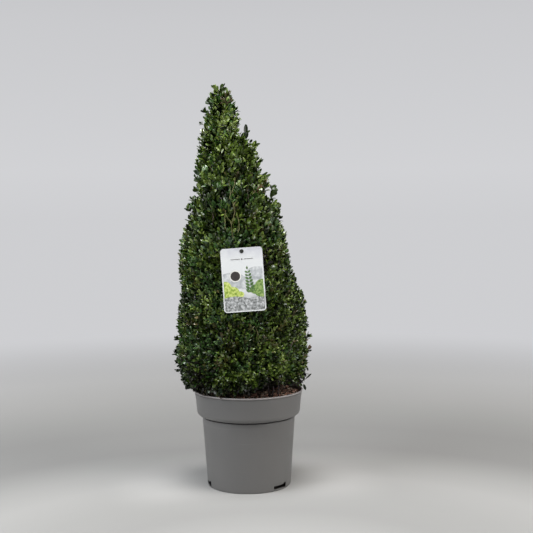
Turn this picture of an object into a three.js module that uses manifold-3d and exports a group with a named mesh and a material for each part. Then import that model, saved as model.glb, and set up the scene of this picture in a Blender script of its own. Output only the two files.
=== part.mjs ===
import * as THREE from 'three';
import { mergeVertices } from 'three/addons/utils/BufferGeometryUtils.js';
import Module from 'manifold-3d';

const wasm = await Module();
wasm.setup();

// Driving dimensions in millimetres. Z is up, the front faces -Y, and the pot's axis is x = y = 0.
// Bearings are in degrees: 0 is the front, 90 is the right-hand side (+X), 180 is the back.

const clearance = 0.3; // gap between a piece and the neighbour that it is cut round
const sliver = 0.03; // edges shorter than this are taken out after a cut
const blockSide = 1600; // a block of this size holds the whole crown on one side of a plane

const potSize = {
  height: 187,
  rimRadius: 106.8,
  lipHeight: 3,
  lipWidth: 1.4,
  lipEdge: 0.8,
  collarHeight: 49.8,
  collarFootRadius: 101.2,
  collarFold: 10, // rounding of the collar's lower edge
  foldSteps: 4,
  bodyTopRadius: 91,
  baseRadius: 81.5,
  baseEdge: 1.5,
  wall: 2,
  floorTop: 5,
  ringInner: 64, // foot ring, from here out to the base's edge
  padRadius: 30, // flat pad in the middle of the underside
  channel: 2.4, // height of the channel between the pad and the ring
  sides: 36,
};

// A drain slot is a low bar with a taller right-hand end.
const slotSize = {
  bearings: [48, -78, 165],
  width: 33,
  height: 4.4,
  bottom: 4.6,
  endWidth: 7,
  endHeight: 7.8,
  endBottom: 2.8,
  depth: 16,
};

const soilSize = {
  crest: 182.6,
  edgeDrop: 2.6,
  edgeFrom: 60, // the surface starts to fall towards the wall at this radius
  spread: 2.6, // how much wider the soil is at its top than at the collar's foot
  dip: 1.6,
  ripples: [13, 11, 29], // lengths of the surface's waves
  level: 24, // radius of the level patch round each stem
  foldSteps: 3,
  rings: 4,
};

const trunkSize = {
  foot: [1, 8],
  flareRadius: 15,
  flareFade: 8,
  radius: 8.4,
  tipRadius: 1.6,
  tipHeight: 752,
  straightens: 190, // height above the soil at which the trunk has reached the crown's axis
  sway: 2.5,
  swayLengths: [47, 61],
  steps: 16,
  crowding: 1.25, // rings stand closer together near the foot
  sides: 10,
};

const basalStems = [
  { name: 'stem_right', foot: [50, 30], lean: [-0.08, -0.02], radius: 4.6, length: 44 },
  { name: 'stem_front', foot: [-14, -44], lean: [-0.12, -0.28], radius: 3.8, length: 42 },
  { name: 'stem_left', foot: [-46, 14], lean: [-0.34, 0.05], radius: 4.4, length: 42 },
  { name: 'stem_back', foot: [2, 54], lean: [0.05, 0.3], radius: 4, length: 42 },
];
const stemForm = { flare: 1.7, flareFade: 4.8, taper: 0.25, steps: 5, crowding: 1.4, sides: 8 };

// The crown's cross-section at each height: the middle of its width and half its width.
const crownStations = [
  { z: 191, axis: -6, radius: 111 },
  { z: 213, axis: -8, radius: 122 },
  { z: 243, axis: -12, radius: 128 },
  { z: 302, axis: -11, radius: 127 },
  { z: 361, axis: -12, radius: 121 },
  { z: 421, axis: -21, radius: 110 },
  { z: 480, axis: -24, radius: 101 },
  { z: 538, axis: -24, radius: 90 },
  { z: 577, axis: -27, radius: 76 },
  { z: 615, axis: -36, radius: 63 },
  { z: 663, axis: -40, radius: 49 },
  { z: 712, axis: -48, radius: 34 },
  { z: 750, axis: -45, radius: 23 },
  { z: 772, axis: -49, radius: 14 },
  { z: 782, axis: -51, radius: 0 },
];

const crownSize = {
  foot: 191,
  top: 782,
  hollow: 20, // how far the underside rises towards the trunk
  underside: [[0, 1], [0.4, 0.85], [0.75, 0.35], [0.95, 0]], // share of the reach, share of the hollow
  sides: 40,
  rows: 27,
  firstRow: 0.2, // share of a row between the foot and the lowest ring
  calmBelow: 60, // the waves shrink where the crown is slimmer than this
  valley: 4, // depth of the dips where two masses meet
  valleyWidth: 9,
  waves: [
    { height: 1.9, turns: 3, pitch: 118, phase: 0.4 },
    { height: 1.6, turns: 5, pitch: -83, phase: 1.9 },
    { height: 1.3, turns: 8, pitch: 61, phase: 3.1 },
  ],
};

// Places where the crown stands out from, or falls short of, its round cross-section.
const lobes = [
  { bearing: 84, z: 651, height: 16, spread: 38, rise: 17 }, // right-hand shoulder
  { bearing: 96, z: 572, height: 5, spread: 50, rise: 26 },
  { bearing: -88, z: 560, height: -3, spread: 40, rise: 22 },
  { bearing: 92, z: 272, height: 5, spread: 42, rise: 38 },
  { bearing: -96, z: 250, height: 3, spread: 44, rise: 40 },
  { bearing: 178, z: 420, height: 3, spread: 60, rise: 70 },
];
// The front right-hand corner is cut up higher over the soil.
const footLift = { bearing: 38, height: 20, spread: 27, fade: 58, inner: 0.3, outer: 0.9 };

// Rings of foliage masses. A ring with one name is a single mass on the crown's axis.
const massRings = [
  { z: 236, reach: 66, names: ['skirt_front_left', 'skirt_front_right', 'skirt_back_right', 'skirt_back_left'],
    bearing: -45 },
  { z: 344, reach: 60, names: ['belly_front', 'belly_right', 'belly_left'], bearing: 4 },
  { z: 452, reach: 44, names: ['waist_left', 'waist_right'], bearing: -86 },
  { z: 556, reach: 0, names: ['neck'], bearing: 0 },
];
const upperMasses = [
  { name: 'shoulder_right', place: [3, -4, 640] },
  { name: 'spire_foot', place: [-66, 3, 644] },
  { name: 'spire_tip', place: [-50, 0, 738] },
];

const shoulderShoot = {
  place: [-3, -6, 689],
  radius: 3.6,
  flatness: 1.3,
  fullness: 0.7,
  length: 34,
  lean: [0.4, 0],
  steps: 7,
  sides: 8,
};

const cardSize = {
  width: 77.4,
  height: 118,
  thickness: 0.7,
  corner: 6,
  holeRadius: 2.9,
  holeInset: 6.5,
  holeShift: 0.5,
  curveSegments: 3,
  freeWay: 20, // the foliage is cleared this far in front of the card
  centre: [-5, -113.4, 408.7],
  turn: 3.6, // degrees that its head leans over to the left
  lean: 8.6, // degrees that it lies back on the crown
};

const tieSize = {
  headRadius: 3.8,
  headHeight: 1,
  crownShare: 0.6, // size of the head's flat crown beside its rim
  stalkRadius: 1.1,
  stalkLength: 30,
  sides: 10,
};

const colours = {
  pot: 0x6b6967,
  soil: 0x4a2d20,
  bark: 0x6a5a48,
  leaf: [0x3d5a2b, 0x466632, 0x36522a, 0x4f6f37],
  card: 0xe4e6e2,
  tie: 0x20241f,
};

// Small helpers.

const radians = THREE.MathUtils.degToRad;

function smooth(edge0, edge1, value) {
  return THREE.MathUtils.smoothstep(value, edge0, edge1);
}

// The signed angle from one bearing to another, between -180 and 180 degrees.
function turnBetween(from, to) {
  return THREE.MathUtils.euclideanModulo(to - from + 180, 360) - 180;
}

function bearingOf(x, y) {
  return THREE.MathUtils.radToDeg(Math.atan2(x, -y));
}

function directionOf(bearing) {
  const angle = radians(bearing);
  return new THREE.Vector2(Math.sin(angle), -Math.cos(angle));
}

// A surface of revolution about Z from profile points of radius and height.
function turned(profile, sides) {
  const geometry = new THREE.LatheGeometry(profile, sides);
  geometry.rotateX(Math.PI / 2);
  return welded(geometry);
}

function welded(geometry) {
  geometry.deleteAttribute('normal');
  geometry.deleteAttribute('uv');
  return mergeVertices(geometry, 1e-4);
}

// Moves every vertex of a geometry by a function of its position.
function reshape(geometry, move) {
  const position = geometry.attributes.position;
  const point = new THREE.Vector3();
  for (let i = 0; i < position.count; i += 1) {
    point.fromBufferAttribute(position, i);
    move(point);
    position.setXYZ(i, point.x, point.y, point.z);
  }
  return geometry;
}

function solidOf(geometry) {
  return new wasm.Manifold(new wasm.Mesh({
    numProp: 3,
    vertProperties: new Float32Array(geometry.attributes.position.array),
    triVerts: new Uint32Array(geometry.index.array),
  }));
}

function geometryOf(solid) {
  const mesh = solid.getMesh();
  const geometry = new THREE.BufferGeometry();
  geometry.setAttribute('position', new THREE.BufferAttribute(mesh.vertProperties, 3));
  geometry.setIndex(new THREE.BufferAttribute(mesh.triVerts, 1));
  return geometry;
}

// Drops the slivers that a cut leaves behind.
function largestBody(solid) {
  const bodies = solid.simplify(sliver).decompose();
  return bodies.reduce((largest, body) => (body.volume() > largest.volume() ? body : largest));
}

function piece(name, geometry, colour, roughness) {
  const material = new THREE.MeshStandardMaterial({ color: colour, roughness, metalness: 0 });
  const mesh = new THREE.Mesh(geometry, material);
  mesh.name = name;
  return mesh;
}

// The pot: a tapered body under a wider collar with a small rolled lip, and drain slots at its foot.

const collarFoot = potSize.height - potSize.collarHeight;

function collarCurve(radius, steps) {
  const centre = new THREE.Vector2(
    potSize.collarFootRadius - potSize.collarFold,
    collarFoot + potSize.collarFold,
  );
  return Array.from({ length: steps + 1 }, (_, i) => {
    const angle = -Math.PI / 2 + (Math.PI / 2) * (i / steps);
    return new THREE.Vector2(Math.cos(angle), Math.sin(angle)).multiplyScalar(radius).add(centre);
  });
}

// The inside of the pot from the floor's middle up to the rim, drawn in from the wall by a gap.
function innerWall(gap) {
  const shelf = collarCurve(potSize.collarFold - potSize.wall - gap, soilSize.foldSteps);
  return [
    new THREE.Vector2(0, potSize.floorTop + gap),
    new THREE.Vector2(potSize.baseRadius - potSize.wall - gap, potSize.floorTop + gap),
    new THREE.Vector2(potSize.bodyTopRadius - potSize.wall - gap, collarFoot + potSize.wall + gap),
    ...shelf,
  ];
}

function potGeometry() {
  const lipFoot = potSize.height - potSize.lipHeight;
  const collarTopRadius = potSize.rimRadius - potSize.lipWidth;
  const outside = [
    new THREE.Vector2(0, 0),
    new THREE.Vector2(potSize.padRadius, 0),
    new THREE.Vector2(potSize.padRadius + potSize.channel, potSize.channel),
    new THREE.Vector2(potSize.ringInner - potSize.channel, potSize.channel),
    new THREE.Vector2(potSize.ringInner, 0),
    new THREE.Vector2(potSize.baseRadius - potSize.baseEdge, 0),
    new THREE.Vector2(potSize.baseRadius, potSize.baseEdge),
    new THREE.Vector2(potSize.bodyTopRadius, collarFoot),
    ...collarCurve(potSize.collarFold, potSize.foldSteps),
    new THREE.Vector2(collarTopRadius, lipFoot),
    new THREE.Vector2(potSize.rimRadius, lipFoot + potSize.lipEdge),
    new THREE.Vector2(potSize.rimRadius, potSize.height - potSize.lipEdge),
    new THREE.Vector2(potSize.rimRadius - potSize.lipEdge, potSize.height),
  ];
  const inside = [
    ...innerWall(0),
    new THREE.Vector2(collarTopRadius - potSize.wall, lipFoot),
    new THREE.Vector2(collarTopRadius - potSize.wall, potSize.height),
  ].reverse();
  return turned([...outside, ...inside], potSize.sides);
}

function slotGeometry(bearing) {
  const half = slotSize.width / 2;
  const neck = half - slotSize.endWidth;
  const top = slotSize.bottom + slotSize.height;
  const endTop = slotSize.endBottom + slotSize.endHeight;
  const outline = new THREE.Shape([
    new THREE.Vector2(-half, slotSize.bottom),
    new THREE.Vector2(neck, slotSize.bottom),
    new THREE.Vector2(neck, slotSize.endBottom),
    new THREE.Vector2(half, slotSize.endBottom),
    new THREE.Vector2(half, endTop),
    new THREE.Vector2(neck, endTop),
    new THREE.Vector2(neck, top),
    new THREE.Vector2(-half, top),
  ]);
  const geometry = new THREE.ExtrudeGeometry(outline, { depth: slotSize.depth, bevelEnabled: false });
  geometry.rotateX(Math.PI / 2);
  geometry.translate(0, slotSize.depth / 2 - potSize.baseRadius, 0);
  geometry.rotateZ(radians(bearing));
  return welded(geometry);
}

function makePot() {
  const drained = slotSize.bearings.reduce(
    (solid, bearing) => solid.subtract(solidOf(slotGeometry(bearing))),
    solidOf(potGeometry()),
  );
  return piece('pot', geometryOf(drained), colours.pot, 0.45);
}

// The soil: it fills the pot to just under the rim and lies level round each stem.

const stemFeet = [trunkSize.foot, ...basalStems.map((stem) => stem.foot)];

function soilTop(x, y) {
  const nearest = Math.min(...stemFeet.map((foot) => Math.hypot(x - foot[0], y - foot[1])));
  const away = smooth(soilSize.level, soilSize.level * 2, nearest);
  const [alongX, alongY, aslant] = soilSize.ripples;
  const uneven = (2 + Math.sin(x / alongX + 1) + Math.sin(y / alongY - x / aslant)) / 4;
  const edge = smooth(soilSize.edgeFrom, potSize.rimRadius, Math.hypot(x, y));
  return soilSize.crest - away * (soilSize.dip * uneven + soilSize.edgeDrop * edge);
}

function makeSoil() {
  const wall = innerWall(clearance);
  const wallTop = wall.at(-1);
  const edgeRadius = wallTop.x + soilSize.spread;
  const rings = Array.from({ length: soilSize.rings + 1 }, (_, i) => (
    new THREE.Vector2(edgeRadius * (1 - i / soilSize.rings), soilSize.crest)
  ));
  const geometry = turned([...wall, ...rings], potSize.sides);
  reshape(geometry, (point) => {
    if (point.z > (wallTop.y + soilSize.crest) / 2) {
      point.z = soilTop(point.x, point.y);
    }
  });
  return piece('potting_soil', geometry, colours.soil, 0.95);
}

// Stems: each is turned from its radii and then shifted along its centre line, so that
// its foot stays a level cut on the soil.

const ground = soilSize.crest + clearance;

function limb(size, gap) {
  const top = size.length + gap;
  const profile = [new THREE.Vector2(0, 0)];
  for (let i = 0; i <= size.steps; i += 1) {
    const height = top * (i / size.steps) ** size.crowding;
    profile.push(new THREE.Vector2(size.radiusAt(height) + gap, height));
  }
  profile.push(new THREE.Vector2(0, top));
  const geometry = turned(profile, size.sides);
  return reshape(geometry, (point) => {
    const centre = size.centreAt(point.z);
    point.set(point.x + centre.x, point.y + centre.y, point.z + ground);
  });
}

function stationAt(z) {
  const upper = crownStations.findIndex((station) => station.z >= z);
  const above = crownStations[Math.max(upper, 1)];
  const below = crownStations[Math.max(upper, 1) - 1];
  const share = THREE.MathUtils.clamp((z - below.z) / (above.z - below.z), 0, 1);
  return {
    axis: THREE.MathUtils.lerp(below.axis, above.axis, share),
    radius: THREE.MathUtils.lerp(below.radius, above.radius, share),
  };
}

const trunkForm = {
  length: trunkSize.tipHeight - ground,
  steps: trunkSize.steps,
  sides: trunkSize.sides,
  crowding: trunkSize.crowding,
  radiusAt: (height) => {
    const share = height / (trunkSize.tipHeight - ground);
    const flare = Math.exp(-height / trunkSize.flareFade);
    const stem = THREE.MathUtils.lerp(trunkSize.radius, trunkSize.tipRadius, share);
    return stem + (trunkSize.flareRadius - trunkSize.radius) * flare;
  },
  centreAt: (height) => {
    const settled = smooth(0, trunkSize.straightens, height);
    const sway = trunkSize.sway * settled;
    const [sideways, forwards] = trunkSize.swayLengths;
    return new THREE.Vector2(
      THREE.MathUtils.lerp(trunkSize.foot[0], stationAt(height + ground).axis, settled)
        + sway * Math.sin(height / sideways),
      THREE.MathUtils.lerp(trunkSize.foot[1], 0, settled) + sway * Math.cos(height / forwards),
    );
  },
};

function basalForm(stem) {
  return {
    length: stem.length,
    steps: stemForm.steps,
    sides: stemForm.sides,
    crowding: stemForm.crowding,
    radiusAt: (height) => {
      const flare = stem.radius * (stemForm.flare - 1) * Math.exp(-height / stemForm.flareFade);
      return stem.radius * (1 - stemForm.taper * (height / stem.length)) + flare;
    },
    centreAt: (height) => new THREE.Vector2(
      stem.foot[0] + stem.lean[0] * height,
      stem.foot[1] + stem.lean[1] * height,
    ),
  };
}

function makeStems() {
  const stems = basalStems.map((stem) => (
    piece(stem.name, limb(basalForm(stem), 0), colours.bark, 0.85)
  ));
  return [piece('trunk', limb(trunkForm, 0), colours.bark, 0.85), ...stems];
}

// The card: a rounded plate with a hole near its head. The tie is a stalk with a flat button,
// and passes through the hole and back into the foliage. Both are made round the card's own
// middle, with its face towards +Z, and then placed.

const holeHeight = cardSize.height / 2 - cardSize.holeInset;

const cardPlace = new THREE.Matrix4().compose(
  new THREE.Vector3(...cardSize.centre),
  new THREE.Quaternion().setFromEuler(
    new THREE.Euler(radians(90 - cardSize.lean), 0, radians(cardSize.turn)),
  ),
  new THREE.Vector3(1, 1, 1),
);

// The card's outline as a solid: with its hole, or without it and grown by a gap, as a cutter.
function cardGeometry(gap, open) {
  const width = cardSize.width / 2 + gap;
  const height = cardSize.height / 2 + gap;
  const corner = cardSize.corner;
  const outline = new THREE.Shape();
  outline.moveTo(-width + corner, -height);
  outline.lineTo(width - corner, -height);
  outline.absarc(width - corner, -height + corner, corner, -Math.PI / 2, 0);
  outline.lineTo(width, height - corner);
  outline.absarc(width - corner, height - corner, corner, 0, Math.PI / 2);
  outline.lineTo(-width + corner, height);
  outline.absarc(-width + corner, height - corner, corner, Math.PI / 2, Math.PI);
  outline.lineTo(-width, -height + corner);
  outline.absarc(-width + corner, -height + corner, corner, Math.PI, Math.PI * 1.5);
  if (open) {
    const hole = new THREE.Path();
    hole.absarc(cardSize.holeShift, holeHeight, cardSize.holeRadius, 0, Math.PI * 2, true);
    outline.holes.push(hole);
  }
  const depth = cardSize.thickness + (open ? 0 : gap + cardSize.freeWay);
  const { curveSegments } = cardSize;
  const geometry = new THREE.ExtrudeGeometry(outline, { depth, curveSegments, bevelEnabled: false });
  geometry.translate(0, 0, -cardSize.thickness / 2 - gap);
  return welded(geometry);
}

function tieGeometry(gap) {
  const face = cardSize.thickness / 2 + clearance;
  const profile = [
    new THREE.Vector2(0, -tieSize.stalkLength - gap),
    new THREE.Vector2(tieSize.stalkRadius + gap, -tieSize.stalkLength - gap),
    new THREE.Vector2(tieSize.stalkRadius + gap, face),
    new THREE.Vector2(tieSize.headRadius + gap, face),
    new THREE.Vector2(tieSize.headRadius + gap, face + tieSize.headHeight * tieSize.crownShare),
    new THREE.Vector2(tieSize.headRadius * tieSize.crownShare, face + tieSize.headHeight + gap),
    new THREE.Vector2(0, face + tieSize.headHeight + gap),
  ];
  const geometry = turned(profile, tieSize.sides);
  geometry.translate(cardSize.holeShift, holeHeight, 0);
  return geometry;
}

function makeCard() {
  const card = cardGeometry(0, true).applyMatrix4(cardPlace);
  const tie = tieGeometry(0).applyMatrix4(cardPlace);
  return [piece('label_card', card, colours.card, 0.4), piece('label_tie', tie, colours.tie, 0.5)];
}

// The crown: one clipped, leaning cone, cut into masses along the planes halfway between their
// middles. Each mass bulges a little between the dips where it meets its neighbours.

const masses = [
  ...massRings.flatMap((ring) => ring.names.map((name, i) => {
    const out = directionOf(ring.bearing + (360 / ring.names.length) * i).multiplyScalar(ring.reach);
    return { name: `crown_${name}`, place: new THREE.Vector3(stationAt(ring.z).axis + out.x, out.y, ring.z) };
  })),
  ...upperMasses.map((mass) => (
    { name: `crown_${mass.name}`, place: new THREE.Vector3(...mass.place) }
  )),
];

function valleyAt(point) {
  const distances = masses.map((mass) => mass.place.distanceTo(point)).sort((a, b) => a - b);
  const fromBorder = (distances[1] - distances[0]) / 2;
  return crownSize.valley * Math.exp(-((fromBorder / crownSize.valleyWidth) ** 2));
}

function crownRadius(bearing, z) {
  const station = stationAt(z);
  const small = Math.min(1, station.radius / crownSize.calmBelow);
  const angle = radians(bearing);
  let radius = station.radius;
  for (const wave of crownSize.waves) {
    radius += small * wave.height * Math.sin(wave.turns * angle + (z / wave.pitch) * Math.PI + wave.phase);
  }
  for (const lobe of lobes) {
    const aside = turnBetween(lobe.bearing, bearing) / lobe.spread;
    const above = (z - lobe.z) / lobe.rise;
    radius += lobe.height * Math.exp(-aside * aside - above * above);
  }
  return radius;
}

function crownSolid() {
  const profile = crownSize.underside.map(([reach, rise]) => (
    new THREE.Vector2(reach, crownSize.foot + crownSize.hollow * rise)
  ));
  for (let i = 0; i < crownSize.rows; i += 1) {
    const share = (i + crownSize.firstRow) / crownSize.rows;
    profile.push(new THREE.Vector2(1, THREE.MathUtils.lerp(crownSize.foot, crownSize.top, share)));
  }
  profile.push(new THREE.Vector2(0, crownSize.top));
  const geometry = turned(profile, crownSize.sides);
  return solidOf(reshape(geometry, (point) => {
    const outward = Math.hypot(point.x, point.y);
    const bearing = bearingOf(point.x, point.y);
    const direction = directionOf(bearing);
    const axis = stationAt(point.z).axis;
    const reach = crownRadius(bearing, point.z) * outward;
    const aside = turnBetween(footLift.bearing, bearing) / footLift.spread;
    const fade = 1 - smooth(crownSize.foot + footLift.height, crownSize.foot + footLift.fade, point.z);
    const rim = smooth(footLift.inner, footLift.outer, outward);
    const lift = footLift.height * Math.exp(-aside * aside) * fade * rim;
    point.set(axis + direction.x * reach, direction.y * reach, point.z);
    const inset = outward < 0.99 ? 0 : valleyAt(point); // only the outer skin has dips
    point.x -= direction.x * inset;
    point.y -= direction.y * inset;
    point.z += lift;
  }));
}

// A block that ends on the plane halfway from one middle to the other, less half the clearance.
function nearHalf(from, to) {
  const across = new THREE.Vector3().subVectors(to, from).normalize();
  const geometry = welded(new THREE.BoxGeometry(blockSide, blockSide, blockSide));
  geometry.translate(0, 0, -blockSide / 2 - clearance / 2);
  geometry.applyQuaternion(
    new THREE.Quaternion().setFromUnitVectors(new THREE.Vector3(0, 0, 1), across),
  );
  const middle = new THREE.Vector3().addVectors(from, to).multiplyScalar(0.5);
  geometry.translate(middle.x, middle.y, middle.z);
  return solidOf(geometry);
}

function shootGeometry() {
  const { place, radius, flatness, fullness, length, lean, steps, sides } = shoulderShoot;
  const profile = Array.from({ length: steps + 1 }, (_, i) => {
    const share = i / steps;
    return new THREE.Vector2(radius * Math.sin(Math.PI * share) ** fullness, length * (share - 0.5));
  });
  profile[0].x = 0;
  profile[steps].x = 0;
  return reshape(turned(profile, sides), (point) => {
    point.set(
      point.x * flatness + place[0] + lean[0] * point.z,
      point.y + place[1] + lean[1] * point.z,
      point.z + place[2],
    );
  });
}

function makeCrown() {
  const crown = crownSolid();
  const cutters = [
    limb(trunkForm, clearance),
    ...basalStems.map((stem) => limb(basalForm(stem), clearance)),
    cardGeometry(clearance, false).applyMatrix4(cardPlace),
    tieGeometry(clearance).applyMatrix4(cardPlace),
  ].map(solidOf);
  const pieces = masses.map((mass, i) => {
    const cell = masses.filter((other) => other !== mass).reduce(
      (solid, other) => solid.intersect(nearHalf(mass.place, other.place)),
      crown,
    );
    const cut = cutters.reduce((solid, cutter) => solid.subtract(cutter), cell);
    return piece(mass.name, geometryOf(largestBody(cut)), colours.leaf[i % colours.leaf.length], 0.7);
  });
  const raised = crown.translate([0, 0, clearance * 2]);
  const shoot = solidOf(shootGeometry()).subtract(raised);
  pieces.push(piece('crown_shoulder_shoot', geometryOf(shoot), colours.leaf[0], 0.7));
  return pieces;
}

const boxwoodCone = new THREE.Group();
boxwoodCone.add(makePot(), makeSoil(), ...makeStems(), ...makeCrown(), ...makeCard());

export default boxwoodCone;
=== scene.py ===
# Potted boxwood cone topiary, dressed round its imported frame
import math

import bmesh
import bpy
import numpy as np
from mathutils import Matrix, Vector, noise
from mathutils.bvhtree import BVHTree


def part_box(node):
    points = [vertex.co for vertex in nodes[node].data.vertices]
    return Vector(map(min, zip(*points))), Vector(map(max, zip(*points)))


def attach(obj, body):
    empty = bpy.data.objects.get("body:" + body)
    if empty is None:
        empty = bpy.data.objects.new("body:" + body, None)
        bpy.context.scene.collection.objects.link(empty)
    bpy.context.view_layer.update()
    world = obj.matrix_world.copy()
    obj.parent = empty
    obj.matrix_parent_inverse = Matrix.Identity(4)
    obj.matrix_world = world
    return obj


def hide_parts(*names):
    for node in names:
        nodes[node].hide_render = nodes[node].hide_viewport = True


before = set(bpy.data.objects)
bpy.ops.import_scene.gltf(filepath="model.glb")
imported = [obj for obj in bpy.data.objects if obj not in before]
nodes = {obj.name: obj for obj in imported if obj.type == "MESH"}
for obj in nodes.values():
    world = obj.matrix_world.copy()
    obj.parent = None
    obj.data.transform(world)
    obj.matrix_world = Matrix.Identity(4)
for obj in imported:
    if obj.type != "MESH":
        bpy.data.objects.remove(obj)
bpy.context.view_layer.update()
crownNodes = sorted(name for name in nodes if name.startswith("crown_"))
massNodes = [name for name in crownNodes if name != "crown_shoulder_shoot"]
stemNodes = sorted(name for name in nodes if name.startswith("stem_"))
print("frame loaded:", len(nodes), "nodes,", len(crownNodes), "foliage masses")

mm = 0.001


# camera, floor and light
cameraView = {
    "place": (0.0379, -1.831, 0.520),
    "pitchDown": math.radians(2.92),
    "roll": math.radians(-0.556),
    "lens": 63.4,
    "sensor": 36.0,
    "farthest": 60,
}


def placed(name, data):
    item = bpy.data.objects.new(name, data)
    bpy.context.scene.collection.objects.link(item)
    return item


def makeCamera(view):
    data = bpy.data.cameras.new("camera")
    data.lens = view["lens"]
    data.sensor_width = view["sensor"]
    data.clip_end = view["farthest"]
    camera = placed("camera", data)
    tilt = Matrix.Rotation(math.pi / 2 - view["pitchDown"], 4, "X")
    roll = Matrix.Rotation(view["roll"], 4, "Z")
    camera.matrix_world = Matrix.Translation(view["place"]) @ tilt @ roll
    bpy.context.scene.camera = camera


studioLook = {
    # height, brightness
    "sky": ((0.0, 0.625), (0.05, 0.65), (0.2, 0.60), (0.35, 0.50), (0.8, 0.30)),
    "skyTint": (0.985, 0.99, 1.02),
    "floorSize": 30.0,
    "paintedLightMiddle": (0.05, -0.5, 0),  # the floor is painted palest round here, a painted pool of light
    "paintedLightReach": 4.0,
    "floor": (  # share of the reach, painted brightness: a painted pool of light in front and painted shadow behind the pot
        (0.055, 0.375), (0.08, 0.335), (0.11, 0.355), (0.14, 0.395), (0.165, 0.365), (0.20, 0.285),
        (0.25, 0.290), (0.29, 0.33), (0.35, 0.41), (0.44, 0.51), (0.55, 0.54), (1.0, 0.54),
    ),
    "paintedLiftByPot": (  # the same right beside the pot, painted paler to lift the shadow that falls there
        (0.055, 0.375), (0.08, 0.335), (0.10, 0.36), (0.12, 0.46), (0.14, 0.50), (0.165, 0.45),
        (0.20, 0.33),
    ),
    "potReach": (0.14, 0.30),  # metres from the pot's axis where the painted lift beside the pot turns into the painted pool
    "floorTint": (1.01, 1.0, 0.975),
    "floorRoughness": 0.75,
    "fade": (0.75, 2.5),  # metres from the pot's axis where the floor turns into the backdrop
    "ambient": 0.31,  # share of the sky's brightness that lights the plant
    "lights": {
        # place, aim, size, power, colour
        "left": ((-2.1, -1.0, 1.9), (0, 0, 0.45), 2.3, 68, (0.94, 0.97, 1.0)),
        "right": ((2.1, -1.0, 1.7), (0, 0, 0.4), 2.3, 50, (1.0, 0.975, 0.935)),
        "top": ((0.0, -0.5, 2.4), (0, 0, 0.3), 1.1, 43, (1.0, 1.0, 1.0)),
    },
}


def nodesOf(material):
    material.use_nodes = True
    tree = material.node_tree
    return tree, tree.nodes["Principled BSDF"]


def rampNode(tree, source, stops):
    ramp = tree.nodes.new("ShaderNodeValToRGB")
    elements = ramp.color_ramp.elements
    while len(elements) < len(stops):
        elements.new(0.5)
    for element, (position, colour) in zip(elements, stops):
        element.position = position
        element.color = (*colour, 1)
    tree.links.new(source, ramp.inputs["Fac"])
    return ramp.outputs["Color"]


def rangeNode(tree, source, start=(0, 1), end=(0, 1), smooth=False):
    # turns values of one range into those of another
    span = tree.nodes.new("ShaderNodeMapRange")
    for name, (low, high) in (("From", start), ("To", end)):
        span.inputs[f"{name} Min"].default_value = low
        span.inputs[f"{name} Max"].default_value = high
    if smooth:
        span.interpolation_type = "SMOOTHSTEP"
    tree.links.new(source, span.inputs["Value"])
    return span.outputs["Result"]


def mixNode(tree, factor, base, over):
    # over is one colour, or a node's output
    mix = tree.nodes.new("ShaderNodeMix")
    mix.data_type = "RGBA"
    tree.links.new(factor, mix.inputs["Factor"])
    tree.links.new(base, mix.inputs["A"])
    if isinstance(over, tuple):
        mix.inputs["B"].default_value = (*over, 1)
    else:
        tree.links.new(over, mix.inputs["B"])
    return mix.outputs["Result"]


def heightNode(tree, coordinates="Object"):
    place = tree.nodes.new("ShaderNodeTexCoord")
    split = tree.nodes.new("ShaderNodeSeparateXYZ")
    tree.links.new(place.outputs[coordinates], split.inputs[0])
    return split.outputs["Z"]


def tinted(stops, tint):
    return [(at, tuple(value * part for part in tint)) for at, value in stops]


def makeSky(look):
    world = bpy.data.worlds.new("studio")
    bpy.context.scene.world = world
    world.use_nodes = True
    tree = world.node_tree
    background = tree.nodes["Background"]
    sky = rampNode(tree, heightNode(tree, "Generated"), tinted(look["sky"], look["skyTint"]))
    tree.links.new(sky, background.inputs["Color"])
    path = tree.nodes.new("ShaderNodeLightPath")
    strength = rangeNode(tree, path.outputs["Is Camera Ray"], end=(look["ambient"], 1))
    tree.links.new(strength, background.inputs["Strength"])


def makeLights(lights):
    for name, (place, aim, size, power, colour) in lights.items():
        data = bpy.data.lights.new(name, "AREA")
        data.shape = "DISK"
        data.size = size
        data.energy = power
        data.color = colour
        lamp = placed(name, data)
        lamp.location = place
        lamp.rotation_euler = (Vector(aim) - Vector(place)).to_track_quat("-Z", "Y").to_euler()


def distanceNode(tree, middle, reach, smooth=False):
    # distance from a middle as a share, 0 at the near reach and 1 at the far one
    place = tree.nodes.new("ShaderNodeTexCoord")
    distance = tree.nodes.new("ShaderNodeVectorMath")
    distance.operation = "DISTANCE"
    distance.inputs[1].default_value = middle
    tree.links.new(place.outputs["Object"], distance.inputs[0])
    return rangeNode(tree, distance.outputs["Value"], reach, smooth=smooth)


def meshOf(name, bm):
    mesh = bpy.data.meshes.new(name)
    bm.to_mesh(mesh)
    bm.free()
    return mesh


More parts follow.
